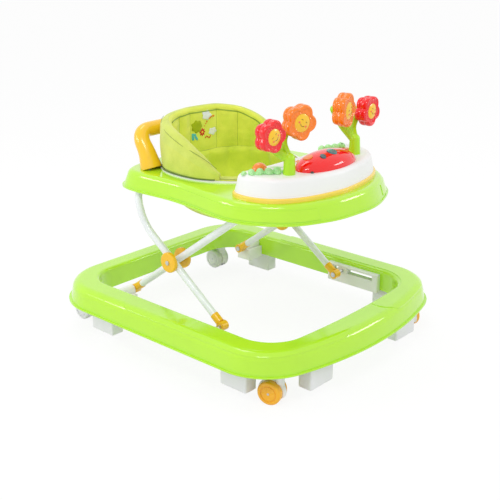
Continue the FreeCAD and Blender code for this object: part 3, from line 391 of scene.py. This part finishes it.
pad_low, pad_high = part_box("seat_back_pad")
pad_bottom = pad_low.z
pad_turn = 20 * MM
pad_middle = -8 * MM
pad_half_thick = 12 * MM
crest_table = ([0, 90, 153, 197, 219, 245, 268, 281, 290, 296],
               [492, 489, 479, 464, 452, 436, 421, 408, 397, 390])
pad_half_length = 296 * MM
seam_table = ([90, 158, 216, 258, 288, 300], [487, 466, 444, 430, 408, 396])
channel_arcs = (-248, -187, -126, -64, 22, 64, 126, 187, 248)
crease_z = 389 * MM


def pad_share(arc):
    """Distance from the middle of the pad along the outline, in millimetres."""
    return abs(arc - pad_turn) / MM


def eased(arc, table):
    """Height from a table, averaged over a short stretch so that it has no corners."""
    return float(np.mean(np.interp(pad_share(arc) + np.linspace(-15, 15, 9), *table))) * MM


def crest(arc):
    return eased(arc, crest_table)


def seam_height(arc):
    return eased(arc, seam_table)


def tip_share(arc):
    """0 at a wing's tip, 1 from 60 mm inward."""
    distance = pad_half_length - abs(arc - pad_turn)
    return float(np.clip(distance / (60 * MM), 0, 1))


def groove(distance, width):
    return math.exp(-(distance / width) ** 2)


def quilt_depth(arc, z):
    """How far the lining bulges out between its sewn channels."""
    nearest = min(abs(arc / MM - channel) for channel in channel_arcs)
    pucker = noise.noise(Vector((arc * 40, z * 90, 3.0)))
    bulge = 1 - math.exp(-(nearest / 11) ** 1.3)
    upper = min(1.0, max(0.0, (crest(arc) - z) / (22 * MM)))
    lower = 1 - groove(z - pad_bottom, 12 * MM)
    return (6.0 * bulge * upper * lower - 3.4 + 1.1 * pucker) * MM


def outer_depth(arc, z):
    """Outer face: a soft belly, with the seam pulled in."""
    height = crest(arc) - pad_bottom
    share = (z - pad_bottom) / max(height, 1 * MM)
    seam = groove(z - seam_height(arc), 3.2 * MM) if pad_share(arc) > 80 else 0.0
    pucker = noise.noise(Vector((arc * 28, z * 22, 8.0)))
    return (3.0 * math.sin(math.pi * min(1.0, max(0.0, share))) - 1.7 * seam + 1.2 * pucker) * MM


def pad_section(arc):
    """Closed section of the pad at one place: up the outside, over the crest, down the lining."""
    tip = tip_share(arc)
    half = pad_half_thick * (0.35 + 0.65 * math.sin(tip * math.pi / 2))
    top = crest(arc)
    bottom = pad_bottom + 0.6 * MM
    shoulder = min(half, (top - bottom) * 0.45)
    section = []
    for share in np.linspace(0.06, 1, 26):
        z = bottom + share * (top - shoulder - bottom)
        section.append((pad_middle + half + outer_depth(arc, z) * tip, z))
    outer_end = section[-1][0]
    for turn in np.linspace(0, math.pi, 15)[1:-1]:
        swell = outer_end - (pad_middle + half)
        x = pad_middle + math.cos(turn) * half + swell * max(0.0, math.cos(turn))
        section.append((x, top - shoulder + math.sin(turn) * shoulder))
    for share in np.linspace(1, 0.06, 26):
        z = bottom + share * (top - shoulder - bottom)
        section.append((pad_middle - half - quilt_depth(arc, z) * tip, z))
    for across in (-0.75, -0.3, 0.3, 0.75):
        section.append((pad_middle + across * half, bottom))
    return section


def pad_place(arc, offset, z):
    x, y = outline_at(arc, offset)
    return (float(x), float(y), float(z))


def build_back_pad():
    columns = 300
    arcs = np.linspace(pad_turn - pad_half_length, pad_turn + pad_half_length, columns)
    points = []
    for arc in arcs:
        points += [pad_place(arc, offset, z) for offset, z in pad_section(arc)]
    ring = len(points) // columns
    faces = grid_faces(columns, ring, close_columns=True)
    faces.append(tuple(range(ring)))
    faces.append(tuple(range((columns - 1) * ring, columns * ring)))
    pad = piece("seat_back_pad_fabric", points, faces, "tray", pad_shell, pad_lining_painted_light, pad_band,
                slot="seat_fabric")
    for polygon in pad.data.polygons:
        column, place = divmod(polygon.vertices[0], ring)
        arc = arcs[min(column, columns - 1)]
        z = polygon.center.z
        if 34 <= place < 64:
            polygon.material_index = 1
        elif place >= 18 or z > seam_height(arc):
            polygon.material_index = 2
    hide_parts("seat_back_pad")
    return pad


def lining_place(arc, z, proud=0.0):
    """Point on the pad's lining, as far proud of it as asked."""
    tip = tip_share(arc)
    half = pad_half_thick * (0.35 + 0.65 * math.sin(tip * math.pi / 2))
    return pad_place(arc, pad_middle - half - quilt_depth(arc, z) * tip - proud, z)


def shell_place(arc, z, proud=0.0):
    tip = tip_share(arc)
    half = pad_half_thick * (0.35 + 0.65 * math.sin(tip * math.pi / 2))
    return pad_place(arc, pad_middle + half + outer_depth(arc, z) * tip + proud, z)


def build_pad_trim():
    reach = pad_half_length - 10 * MM
    arcs = np.linspace(pad_turn - reach, pad_turn + reach, 260)
    edge = [lining_place(arc, crest(arc) - 13 * MM, 0.2 * MM) for arc in arcs]
    tube("seat_pad_piping", edge, 1.3 * MM, "tray", piping)
    bottom = [shell_place(arc, pad_bottom + 1.6 * MM, 0.1 * MM) for arc in arcs]
    tube("seat_pad_bottom_piping", bottom, 1.5 * MM, "tray", seam_thread)
    for index, channel in enumerate(channel_arcs):
        top = crest(channel * MM) - 14 * MM
        if pad_share(channel * MM) < 265 and top > pad_bottom + 10 * MM:
            stitch = [lining_place(channel * MM, z, 0.05 * MM) for z in np.linspace(pad_bottom + 2 * MM, top, 30)]
            tube(f"seat_channel_{index}", stitch, 0.4 * MM, "tray", channel_thread)
    crease = [lining_place(arc, pad_bottom + 1.5 * MM, 1.2 * MM) for arc in arcs]
    tube("seat_crease_seam", crease, 1.2 * MM, "tray", seam_thread)
    for side_name, side in (("left", 1), ("right", -1)):
        arcs = pad_turn + side * np.linspace(84, 290, 90) * MM
        seam = [shell_place(arc, seam_height(arc), 0.1 * MM) for arc in arcs]
        tube("seat_seam_" + side_name, seam, 0.45 * MM, "tray", seam_thread)


build_back_pad()
build_pad_trim()


# Printed shapes on the lining

def print_shape(name, outline, arc, z, material):
    """A flat printed shape: outline points in millimetres about its middle, laid on the lining."""
    points = [lining_place(arc * MM, z * MM, 0.35 * MM)]
    rings = (0.35, 0.7, 1.0)
    for ring in rings:
        for across, up in outline:
            points.append(lining_place((arc - across * ring) * MM, (z + up * ring) * MM, 0.35 * MM))
    count = len(outline)
    faces = [(0, 1 + index, 1 + (index + 1) % count) for index in range(count)]
    for ring in range(len(rings) - 1):
        start = 1 + ring * count
        faces += [(start + index, start + count + index, start + count + (index + 1) % count,
                   start + (index + 1) % count) for index in range(count)]
    made = piece(name, points, faces, "tray", material, slot="seat_fabric")
    thick = made.modifiers.new("thickness", "SOLIDIFY")
    thick.thickness = 0.4 * MM
    thick.offset = 0.0
    return made


def lobed(radius, lobes, depth, stretch=1.0, count=60, turn=0.0):
    points = []
    for index in range(count):
        angle = math.tau * index / count
        reach = radius * (1 + depth * math.cos(lobes * angle + turn))
        points.append((reach * math.cos(angle) * stretch, reach * math.sin(angle)))
    return points


print_shape("print_cloud_upper", lobed(10.5, 5, 0.16, 1.35, turn=0.5), -28, 468, print_white)
print_shape("print_cloud_lower", lobed(8.5, 5, 0.14, 1.6, turn=1.1), -48, 428, print_white)
print_shape("print_bush", lobed(14.0, 7, 0.1, 1.05), 4, 446, print_bush)
print_shape("print_flower", lobed(8.0, 8, 0.25), -12, 431, print_red)
print_shape("print_flower_heart", lobed(3.2, 4, 0.0), -12.0, 431, print_yellow)
for index, (arc, z, turn) in enumerate(((13, 428, 0.4), (7, 420, 1.9), (16, 421, 3.0))):
    print_shape(f"print_leaf_{index}", lobed(4.4, 2, 0.35, 1.0, 30, turn), arc, z, print_blue)
for index in range(9):
    arc = -20 - 4.0 * index
    z = 447 + 2.4 * index - 0.35 * (index - 4) ** 2 + 3
    print_shape(f"print_dot_{index}", lobed(1.3 + 0.5 * (index % 3), 3, 0.15, 1.0, 18), arc, z, print_orange)
for index in range(6):
    print_shape(f"print_petal_{index}", lobed(1.8, 3, 0.25, 1.0, 18, index), -22 - 3.5 * index,
                417 + 2.2 * math.sin(index * 1.4), print_orange if index % 2 else print_red)
# Seat pouch

pouch_middle_y = 43 * MM
pouch_top = crease_z - 1 * MM
pouch_bottom = 258 * MM
pouch_depth = pouch_top - pouch_bottom
leg_axis_start = Vector((34, 20, 338)) * MM
leg_axis_end = Vector((100, -150, 288)) * MM
leg_hole_radius = 41 * MM
pouch_columns = 320
pouch_rows = 90
pouch_arcs = np.linspace(-outline_length / 2, outline_length / 2, pouch_columns, endpoint=False)
channel_step = 61
channel_start = 22


def pouch_scale(share):
    return max(0.0, 1 - share ** 2.7) ** 0.46


def pouch_point(arc, share, inset):
    """Place on the pouch: share runs from the rim to the bottom, inset is measured inward at the rim."""
    x, y = outline_at(arc, -inset)
    scale = pouch_scale(share)
    return Vector((x * scale, pouch_middle_y + (y - pouch_middle_y) * scale, pouch_top - share * pouch_depth))


def pouch_wall(share):
    """Padded at the rim, thin below."""
    return (17 * math.exp(-(share / 0.3) ** 2) + 4.5) * MM


def leg_lines():
    """Side name, start and direction of the line through each leg hole."""
    for side_name, side in (("left", -1), ("right", 1)):
        start = Vector((leg_axis_start.x * side, leg_axis_start.y, leg_axis_start.z))
        end = Vector((leg_axis_end.x * side, leg_axis_end.y, leg_axis_end.z))
        yield side_name, start, (end - start).normalized()


def from_leg_line(point, start, axis):
    """Offset from the nearest point on a leg hole's line; None behind its start."""
    ahead = (point - start).dot(axis)
    return None if ahead < 0 else point - (start + axis * ahead)


def outer_pouch(arc, share):
    fold = noise.noise(Vector((arc * 24, share * 3.0, 5.0))) * 2.2 * math.sin(share * math.pi) * MM
    place = pouch_point(arc, share, 4.2 * MM - fold)
    place.z -= 9.5 * MM * max(0.0, 1 - share / 0.03)
    return place


def inner_pouch(arc, share):
    nearest = abs((arc / MM - channel_start + channel_step / 2) % channel_step - channel_step / 2)
    bulge = 1 - math.exp(-(nearest / 12) ** 1.4)
    height = (1 - math.exp(-(share / 0.07) ** 2)) * math.exp(-((share - 0.2) / 0.4) ** 2)
    pucker = noise.noise(Vector((arc * 36, share * 5.0, 1.0))) * 1.6
    lip = 0.62 + 0.38 * (1 - math.exp(-(share / 0.05) ** 2))
    wall = pouch_wall(share) * lip + (7.0 * (bulge * height - 0.45) + pucker) * MM * (1 - share)
    place = pouch_point(arc, share, 4.2 * MM + wall)
    place.z = min(place.z, pouch_top - 1 * MM)
    place.z = max(place.z, pouch_bottom + 4.5 * MM)
    return place


def leg_hole_cells(grid):
    """Cells of the pouch grid that lie in a leg hole."""
    holes = set()
    for row in range(pouch_rows - 1):
        for column in range(pouch_columns):
            corners = (grid[row][column], grid[row + 1][(column + 1) % pouch_columns])
            middle = (corners[0] + corners[1]) / 2
            for _, start, axis in leg_lines():
                away = from_leg_line(middle, start, axis)
                if away is not None and away.length < leg_hole_radius:
                    holes.add((row, column))
    return holes


def snap_to_hole(grid, holes):
    """Moves the corners on a hole's edge out to its true circle."""
    for row in range(1, pouch_rows - 1):
        for column in range(pouch_columns):
            around = [(r, c % pouch_columns) in holes for r in (row - 1, row) for c in (column - 1, column)]
            if any(around) and not all(around):
                point = grid[row][column]
                offsets = [from_leg_line(point, start, axis) for _, start, axis in leg_lines()]
                away = min((offset for offset in offsets if offset is not None), key=lambda offset: offset.length)
                point += away.normalized() * (leg_hole_radius - away.length)


def build_pouch():
    """A padded inner wall and a thin outer one, joined at the rim and round the two leg holes."""
    shares = np.linspace(0, 1, pouch_rows) ** 0.8 * 0.9995
    walls = [[[make(arc, share) for arc in pouch_arcs] for share in shares] for make in (outer_pouch, inner_pouch)]
    holes = leg_hole_cells(walls[0])
    for wall in walls:
        snap_to_hole(wall, holes)
    points = [point for wall in walls for row in wall for point in row]
    inner = pouch_rows * pouch_columns

    def at(row, column):
        return row * pouch_columns + column % pouch_columns

    faces = []
    for row in range(pouch_rows - 1):
        for column in range(pouch_columns):
            if (row, column) in holes:
                continue
            cell = (at(row, column), at(row, column + 1), at(row + 1, column + 1), at(row + 1, column))
            faces += [cell, tuple(inner + index for index in reversed(cell))]
            edges = {(row, (column + 1) % pouch_columns): (cell[1], cell[2]),
                     (row, (column - 1) % pouch_columns): (cell[3], cell[0]),
                     (row + 1, column): (cell[2], cell[3]), (row - 1, column): (cell[0], cell[1])}
            for neighbour, (first, second) in edges.items():
                if neighbour in holes:
                    faces.append((second, first, inner + first, inner + second))
    for column in range(pouch_columns):
        faces.append((at(0, column + 1), at(0, column), inner + at(0, column), inner + at(0, column + 1)))
    last = [at(pouch_rows - 1, column) for column in range(pouch_columns)]
    faces += [tuple(last), tuple(inner + index for index in reversed(last))]
    return piece("seat_pouch_fabric", points, faces, "tray", pouch_fabric_painted_light, slot="seat_fabric")


def pouch_side(point):
    """Above 0 outside the pouch's middle surface, below 0 inside."""
    share = (pouch_top - point.z) / pouch_depth
    if not 0 < share < 0.999:
        return 1.0
    scale = pouch_scale(share)
    x = point.x / scale
    y = pouch_middle_y + (point.y - pouch_middle_y) / scale - widest_y
    reach, power = (rear_reach, rear_power) if y >= 0 else (front_reach, front_power)
    shrink = 6.5 * MM
    return abs(x / (seat_half_width - shrink)) ** power + abs(y / (reach - shrink)) ** power - 1


def bind_leg_hole(side_name, start, axis):
    """A round binding where the leg's cylinder meets the pouch's middle surface."""
    across = axis.orthogonal().normalized()
    other = axis.cross(across)
    rim = []
    for turn in np.linspace(0, math.tau, 72, endpoint=False):
        line = start + (across * math.cos(turn) + other * math.sin(turn)) * leg_hole_radius
        steps = [line + axis * step for step in np.linspace(1, 200, 399) * MM]
        rim.append(next((point for point in steps if pouch_side(point) > 0), steps[-1]))
    tube("leg_hole_binding_" + side_name, rim, 4.2 * MM, "tray", binding, closed=True, sides=4)


pouch = build_pouch()
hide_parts("seat_pouch")
for leg_line in leg_lines():
    bind_leg_hole(*leg_line)


# Flowers

petal_count = 5
petal_centre = 20.0
petal_round = 17.0
disc_radius = 18.6
petal_turn = {"left_red": 18, "left_orange": 28, "right_orange": 20, "right_red": 36}


def flower_frame(name):
    """Turns points built facing -Y at the origin to a flower's place, from its spin joint."""
    joint = joints["spin_" + name]
    axis = Vector(joint["axis"])
    turn = math.atan2(axis.x, -axis.y)
    return Matrix.Translation(Vector(joint["pos_m"])) @ Matrix.Rotation(turn, 4, "Z")


def petal_reach(angle, size):
    """Outline of five overlapping round petals."""
    spacing = math.tau / petal_count
    from_petal = abs((angle + spacing / 2) % spacing - spacing / 2)
    reach = petal_centre * math.cos(from_petal)
    reach += math.sqrt(petal_round ** 2 - (petal_centre * math.sin(from_petal)) ** 2)
    valley = groove(spacing / 2 - from_petal, 0.09)
    return size * (reach + 1.2 * valley)


def build_petals(name, size, material):
    """Puffed petals: flat back, round sides, a raised ridge round the front and gathers at the disc."""
    disc_place = flower_frame(name)
    place = disc_place @ Matrix.Rotation(math.radians(petal_turn[name]), 4, "Y")
    count = 200
    sides = [(16.0, 20.0), (11.0, 20.0), (9.0, 21.5), (8.0, 25.0), (6.4, 27.4), (4.2, 27.8), (2.0, 26.6),
             (0.6, 24.0), (0.1, 20.0), (0.2, 16.8), (1.5, 15.6), (1.5, 14.6), (0.2, 13.0), (0.0, 8.0),
             (0.3, 4.4), (1.2, 2.2), (2.6, 0.8), (4.2, 0.2), (5.8, 0.5), (7.2, 1.5), (8.6, 2.5)]
    points = []
    rows = 0
    for inset, depth in sides:
        for index in range(count):
            angle = math.tau * index / count
            reach = petal_reach(angle, size) - inset * size
            points.append((reach * math.sin(angle), depth, reach * math.cos(angle)))
        rows += 1
    for share in (0.3, 0.6, 0.85, 1.0):
        for index in range(count):
            angle = math.tau * index / count
            outer = petal_reach(angle, size) - 8.6 * size
            reach = outer + (disc_radius * size + 0.2 - outer) * share
            gather = 0.45 * math.cos(20 * angle) * math.sin(share * math.pi * 0.8)
            points.append((reach * math.sin(angle), 2.5 - 1.2 * share + gather, reach * math.cos(angle)))
        rows += 1
    for reach, depth in ((disc_radius * size - 0.1, 2.3), (4.0, 2.6)):
        for index in range(count):
            angle = math.tau * index / count
            points.append((reach * math.sin(angle), depth, reach * math.cos(angle)))
        rows += 1
    faces = grid_faces(rows, count, close_columns=True)
    faces.append(tuple(range(count)))
    faces.append(tuple(range((rows - 1) * count, rows * count)))
    points = [place @ (Vector(point) * MM) for point in points]
    petals = piece("petals_" + name, points, faces, "flower_" + name, material,
                   slot="red_plastic" if "red" in name else "flower_orange")
    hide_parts("flower_petals_" + name)
    build_smile(name, size, disc_place)


def dome_depth(reach, size):
    """Depth of the face disc's domed front, facing -Y."""
    radius = 18.5 * size - 0.1
    ball = (radius ** 2 + 16.0) / 8.0
    return -2.0 + ball - math.sqrt(ball ** 2 - reach ** 2)


def build_smile(name, size, place):
    """A plain smile: two closed eyes, a mouth and two cheeks, printed on the disc."""
    tilt = {"left_red": 0.7, "left_orange": -0.6, "right_orange": 0.5, "right_red": -0.4}[name]

    def on_disc(across, up, proud=0.12):
        x = (across * math.cos(tilt) - up * math.sin(tilt)) * size
        z = (across * math.sin(tilt) + up * math.cos(tilt)) * size
        return place @ (Vector((x, dome_depth(math.hypot(x, z), size) - proud, z)) * MM)

    body = "flower_" + name
    strokes = {"eye_near": (-6.0, 3.2, 2.4, 0.15, 0.85), "eye_far": (6.0, 3.2, 2.4, 0.15, 0.85),
               "mouth": (0.0, -0.5, 6.2, 1.17, 1.83)}
    for part, (across, up, radius, start, end) in strokes.items():
        points = [on_disc(across + radius * math.cos(math.pi * turn), up + radius * math.sin(math.pi * turn))
                  for turn in np.linspace(start, end, 16)]
        tube(f"smile_{part}_{name}", points, 0.42 * MM, body, line_brown)
    for part, across in (("near", -9.2), ("far", 9.2)):
        rings = [on_disc(across, -2.6, 0.2)]
        for radius in (1.2, 2.1):
            rings += [on_disc(across + radius * math.cos(turn), -2.6 + radius * math.sin(turn), 0.2)
                      for turn in np.linspace(0, math.tau, 20, endpoint=False)]
        faces = [(0, 1 + i, 1 + (i + 1) % 20) for i in range(20)]
        faces += [(1 + i, 21 + i, 21 + (i + 1) % 20, 1 + (i + 1) % 20) for i in range(20)]
        cheek = piece(f"cheek_{part}_{name}", rings, faces, body, cheek_pink)
        thick = cheek.modifiers.new("thickness", "SOLIDIFY")
        thick.thickness = 0.3 * MM
        thick.offset = 0.0


build_petals("left_red", 0.9, petal_red)
build_petals("left_orange", 1.0, petal_orange)
build_petals("right_orange", 1.0, petal_orange)
build_petals("right_red", 0.9, petal_red)


# Small toys and inlays on the console

console_low, console_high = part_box("console_shell")
deck = console_high.z


def lumps(name, balls, nodes, material, smooth=6):
    """Rounded balls melted into one body by a voxel remesh; each ball is (x, y, z, radius, flatness)."""
    build = bmesh.new()
    for x, y, z, radius, flatness in balls:
        shape = Matrix.Translation((x, y, z)) @ Matrix.Diagonal((radius, radius, radius * flatness, 1))
        bmesh.ops.create_icosphere(build, subdivisions=3, radius=1.0, matrix=shape)
    mesh = bpy.data.meshes.new(name)
    build.to_mesh(mesh)
    build.free()
    made = bpy.data.objects.new(name, mesh)
    bpy.context.scene.collection.objects.link(made)
    melt = made.modifiers.new("melt", "REMESH")
    melt.mode = "VOXEL"
    melt.voxel_size = 0.8 * MM
    soften = made.modifiers.new("soften", "SMOOTH")
    soften.iterations = smooth
    soften.factor = 0.5
    bpy.context.view_layer.update()
    final = bpy.data.meshes.new_from_object(made.evaluated_get(bpy.context.evaluated_depsgraph_get()))
    made.modifiers.clear()
    made.data = final
    for vertex in final.vertices:
        knob = noise.noise(vertex.co * 420) * 0.35 * MM
        vertex.co += vertex.normal * knob
        vertex.co.z = max(vertex.co.z, deck + 0.05 * MM)
    final.polygons.foreach_set("use_smooth", [True] * len(final.polygons))
    final.materials.clear()
    final.materials.append(material)
    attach(made, "tray")
    if nodes:
        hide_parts(*nodes)
    return made


def along(node_name, slope):
    """Ends of a grub's line, from its node's box; slope says which way the line runs."""
    low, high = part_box(node_name)
    if slope > 0:
        return Vector((low.x, low.y, deck)), Vector((high.x, high.y, deck))
    return Vector((low.x, high.y, deck)), Vector((high.x, low.y, deck))


def grub(name, tail_radius, head_radius, count, eyes):
    start, end = along("grub_" + name, -1)
    run = (end - start).normalized()
    start += Vector((tail_radius, -tail_radius, 0)) * 0.95
    end += Vector((-head_radius, head_radius, 0)) * 0.95
    balls = []
    for index in range(count):
        share = index / (count - 1)
        centre = start.lerp(end, share)
        radius = tail_radius + (head_radius - tail_radius) * share
        wave = math.sin(index * 2.1) * 0.8 * MM
        balls.append((centre.x + wave, centre.y + wave, deck + 4.5 * MM, radius, 1.0))
        for side in (-1, 1):
            foot = centre + Vector((-run.y, run.x, 0)) * side * radius * 0.85
            balls.append((foot.x, foot.y, deck + 1.2 * MM, radius * 0.36, 0.8))
    made = lumps("grub_body_" + name, balls, ["grub_" + name], mint)
    if eyes:
        for side_name, side in (("near", -1), ("far", 1)):
            place = end + Vector((-run.y, run.x, 0)) * side * head_radius * 0.42
            place.z = deck + 4.5 * MM + head_radius * 0.86
            lumps(f"grub_eye_{name}_{side_name}", [(*place, 1.9 * MM, 0.7)], None, foot_black,
                  smooth=1)
    return made


grub("right", 8.0 * MM, 10.0 * MM, 4, True)
grub("left", 7.0 * MM, 9.0 * MM, 4, False)


def leaf_mat():
    """Low leafy lumps round the near grub and the roller ball."""
    low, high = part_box("grub_left")
    balls = []
    for index in range(11):
        share = index / 10
        x = low.x - 6 * MM + (high.x - low.x + 14 * MM) * share
        y = high.y + 4 * MM + (low.y - high.y - 2 * MM) * share + 9 * MM * math.sin(index * 1.9)
        balls.append((x, y, deck + 1.5 * MM, (4.6 + 1.4 * math.sin(index * 2.7)) * MM, 0.8))
    return lumps("leaf_mat_left", balls, None, mint, smooth=3)


leaf_mat()


def deck_inlay(name, x, y, length, width, turn, point, material, slot):
    """A thin raised leaf or disc on the console top."""
    count = 48
    points = [Vector((x, y, deck / MM + 0.35)) * MM]
    for share in (0.5, 0.85, 1.0):
        for index in range(count):
            angle = math.tau * index / count
            across = length / 2 * math.cos(angle)
            up = width / 2 * math.sin(angle) * (1 - point * abs(math.cos(angle)) ** 3)
            height = 0.35 if share < 1 else 0.0
            points.append(Vector((x + share * (across * math.cos(turn) - up * math.sin(turn)),
                                  y + share * (across * math.sin(turn) + up * math.cos(turn)),
                                  deck / MM + height)) * MM)
    faces = [(0, 1 + i, 1 + (i + 1) % count) for i in range(count)]
    for ring in range(2):
        start = 1 + ring * count
        faces += [(start + i, start + count + i, start + count + (i + 1) % count, start + (i + 1) % count)
                  for i in range(count)]
    made = piece(name, points, faces, "tray", material, slot=slot)
    thick = made.modifiers.new("thickness", "SOLIDIFY")
    thick.thickness = 0.3 * MM
    thick.offset = -1.0
    return made


deck_inlay("deck_leaf_mint", 22, -140, 40, 15, 0.15, 0.6, inlay_mint, "mint_plastic")
deck_inlay("deck_leaf_mint_left", -86, -146, 30, 13, -0.9, 0.6, inlay_mint, "mint_plastic")
deck_inlay("deck_spot_orange", -18, -151, 25, 15, 0.1, 0.0, inlay_orange, "orange_plastic")
deck_inlay("deck_spot_orange_right", 62, -150, 14, 10, 0.4, 0.0, inlay_orange, "orange_plastic")


# Push handle: a flattened grip that widens into its feet

grip_low, grip_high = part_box("push_handle")
grip_rail = grip_high.z - 15 * MM
grip_back = grip_high.y - 15 * MM
grip_leg_x = grip_high.x - 22 * MM
grip_foot_y = 163 * MM


def grip_route():
    """Centre line of one half: foot, rounded knee, rounded corner, middle of the bar."""
    corners = [Vector((grip_leg_x, grip_foot_y, grip_low.z)),
               Vector((grip_leg_x, grip_foot_y + 12 * MM, grip_low.z + 34 * MM)),
               Vector((grip_leg_x, grip_back, grip_rail)), Vector((0, grip_back, grip_rail))]
    path = [corners[0]]
    for before, corner, after, radius in zip(corners, corners[1:], corners[2:], (90 * MM, 34 * MM)):
        arrive, leave = (corner - before).normalized(), (after - corner).normalized()
        reach = radius * math.tan(arrive.angle(leave) / 2)
        start, end = corner - arrive * reach, corner + leave * reach
        path += [start.lerp(corner, share).lerp(corner.lerp(end, share), share)
                 for share in np.linspace(0, 1, 18)]
    foot = [path[0].lerp(path[1], share) for share in np.linspace(0, 1, 12, endpoint=False)]
    bar = [path[-1].lerp(corners[3], share) for share in (0.25, 0.5, 0.75, 1.0)]
    return foot + path[1:] + bar


def build_grip():
    """An oval section swept along both halves; it widens towards its feet."""
    half = grip_route()
    route = half + [Vector((-point.x, point.y, point.z)) for point in reversed(half[:-1])]
    facing = Vector((0, grip_rail - grip_low.z, grip_foot_y - grip_back)).normalized()
    sides = 40
    points = []
    for index, place in enumerate(route):
        ahead = (route[min(index + 1, len(route) - 1)] - route[max(index - 1, 0)]).normalized()
        across = (facing - ahead * facing.dot(ahead)).normalized()
        other = ahead.cross(across)
        widen = math.exp(-((place.z - grip_low.z) / (34 * MM)) ** 1.3)
        deep, wide = (16.5 + 6.0 * widen) * MM, (16.0 + 9.5 * widen) * MM
        for turn in np.linspace(0, math.tau, sides, endpoint=False):
            point = place + across * math.cos(turn) * deep + other * math.sin(turn) * wide
            point.z = max(point.z, grip_low.z)
            points.append(point)
    faces = grid_faces(len(route), sides, close_columns=True)
    faces += [tuple(range(sides)), tuple(range((len(route) - 1) * sides, len(route) * sides))]
    grip = piece("push_handle_grip", points, faces, "tray", handle_yellow, slot="orange_plastic")
    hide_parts("push_handle")


build_grip()


# Ladybird: seams and feet

bird_low, bird_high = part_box("ladybird_cover")
bird_centre = (bird_low + bird_high) / 2
bird_half = (bird_high - bird_low) / 2
bird_height = bird_high.z - bird_low.z


def on_bird(x, y, proud):
    """Point over the ladybird's dome, from its half sizes."""
    across = (x - bird_centre.x) / bird_half.x
    along_y = (y - bird_centre.y) / bird_half.y
    rise = math.sqrt(max(0.0, 1 - across ** 2 - along_y ** 2))
    return Vector((x, y, bird_low.z + rise * bird_height + proud))


def build_ladybird_trim():
    seam_x = bird_centre.x + bird_half.x * 0.62
    reach = bird_half.y * math.sqrt(1 - 0.62 ** 2) * 0.985
    seam = []
    for turn in np.linspace(-1, 1, 50):
        y = bird_centre.y + reach * math.sin(turn * math.pi / 2)
        bow = 7 * MM * math.cos(turn * math.pi / 2)
        seam.append(on_bird(seam_x + bow - 5 * MM, y, 0.0))
    tube("ladybird_neck_seam", seam, 0.7 * MM, "tray", ladybird_red)
    for row, side in (("front", -1), ("rear", 1)):
        for index, share in enumerate((-0.86, 0.0) if row == "rear" else (-0.86,)):
            x = bird_centre.x + bird_half.x * share
            y = bird_centre.y + side * bird_half.y * (math.sqrt(1 - share ** 2) + 0.02)
            lumps(f"ladybird_foot_{row}_{index}", [(x, y, deck + 1.2 * MM, 3.6 * MM, 0.7)], None,
                  foot_black, smooth=1)


build_ladybird_trim()


# Stage, lights and camera

def studio_rays(tree, plain, seen):
    """Value `seen` for camera, glossy and transmission rays, and `plain` for the rest."""
    rays = add(tree, "LightPath")
    either = total(tree, rays.outputs["Is Camera Ray"], rays.outputs["Is Glossy Ray"], "MAXIMUM")
    either = total(tree, either, rays.outputs["Is Transmission Ray"], "MAXIMUM")
    scaled = total(tree, either, seen - plain, "MULTIPLY")
    return total(tree, scaled, plain)


def build_floor():
    half = 30.0
    mesh = bpy.data.meshes.new("floor")
    mesh.from_pydata([(-half, -half, 0), (half, -half, 0), (half, half, 0), (-half, half, 0)], [], [(0, 1, 2, 3)])
    floor = bpy.data.objects.new("floor", mesh)
    bpy.context.scene.collection.objects.link(floor)
    material = bpy.data.materials.new("floor")
    material.use_nodes = True
    tree = material.node_tree
    tree.nodes.clear()
    paper = add(tree, "BsdfDiffuse", {"Color": (0.9, 0.9, 0.9, 1)})
    glow = add(tree, "Emission", {"Color": (1, 1, 1, 1), "Strength": 1.03})
    mix = add(tree, "MixShader", {"Fac": studio_rays(tree, 0.0, 0.86), 1: paper.outputs[0], 2: glow.outputs[0]})
    out = add(tree, "OutputMaterial", {"Surface": mix.outputs[0]})
    out.is_active_output = True
    mesh.materials.append(material)


def build_world():
    world = bpy.data.worlds.new("studio")
    bpy.context.scene.world = world
    world.use_nodes = True
    tree = world.node_tree
    background = tree.nodes["Background"]
    background.inputs["Color"].default_value = (1, 1, 1, 1)
    tree.links.new(studio_rays(tree, 0.74, 1.0), background.inputs["Strength"])


def softbox(name, azimuth, elevation, distance, size, watts):
    """A rectangular light that faces the walker; azimuth runs from +X towards +Y, in degrees."""
    data = bpy.data.lights.new(name, "AREA")
    data.shape = "RECTANGLE"
    data.size, data.size_y = size
    data.energy = watts
    lamp = bpy.data.objects.new(name, data)
    target = Vector((0, 0, 0.25))
    turn, rise = math.radians(azimuth), math.radians(elevation)
    away = Vector((math.cos(turn) * math.cos(rise), math.sin(turn) * math.cos(rise), math.sin(rise)))
    lamp.location = target + away * distance
    lamp.rotation_euler = (-away).to_track_quat("-Z", "Y").to_euler()
    bpy.context.scene.collection.objects.link(lamp)


def build_camera():
    data = bpy.data.cameras.new("camera")
    data.lens = 68.04
    data.sensor_width = 36.0
    data.shift_x = -0.0058
    data.shift_y = -0.0453
    camera = bpy.data.objects.new("camera", data)
    camera.location = (-1.4993, -1.3365, 0.9259)
    aim = Vector((0, -0.0055, 0.2405)) - camera.location
    camera.rotation_euler = aim.to_track_quat("-Z", "Y").to_euler()
    bpy.context.scene.collection.objects.link(camera)
    bpy.context.scene.camera = camera


build_floor()
build_world()
softbox("key", 213, 50, 2.7, (0.9, 0.4), 14)
softbox("side", 142, 24, 2.2, (0.9, 0.35), 7)
softbox("fill", -44, 24, 2.6, (0.8, 0.35), 7)
softbox("top", 75, 66, 2.2, (0.9, 0.6), 5)
build_camera()
bpy.context.scene.view_settings.view_transform = "Standard"
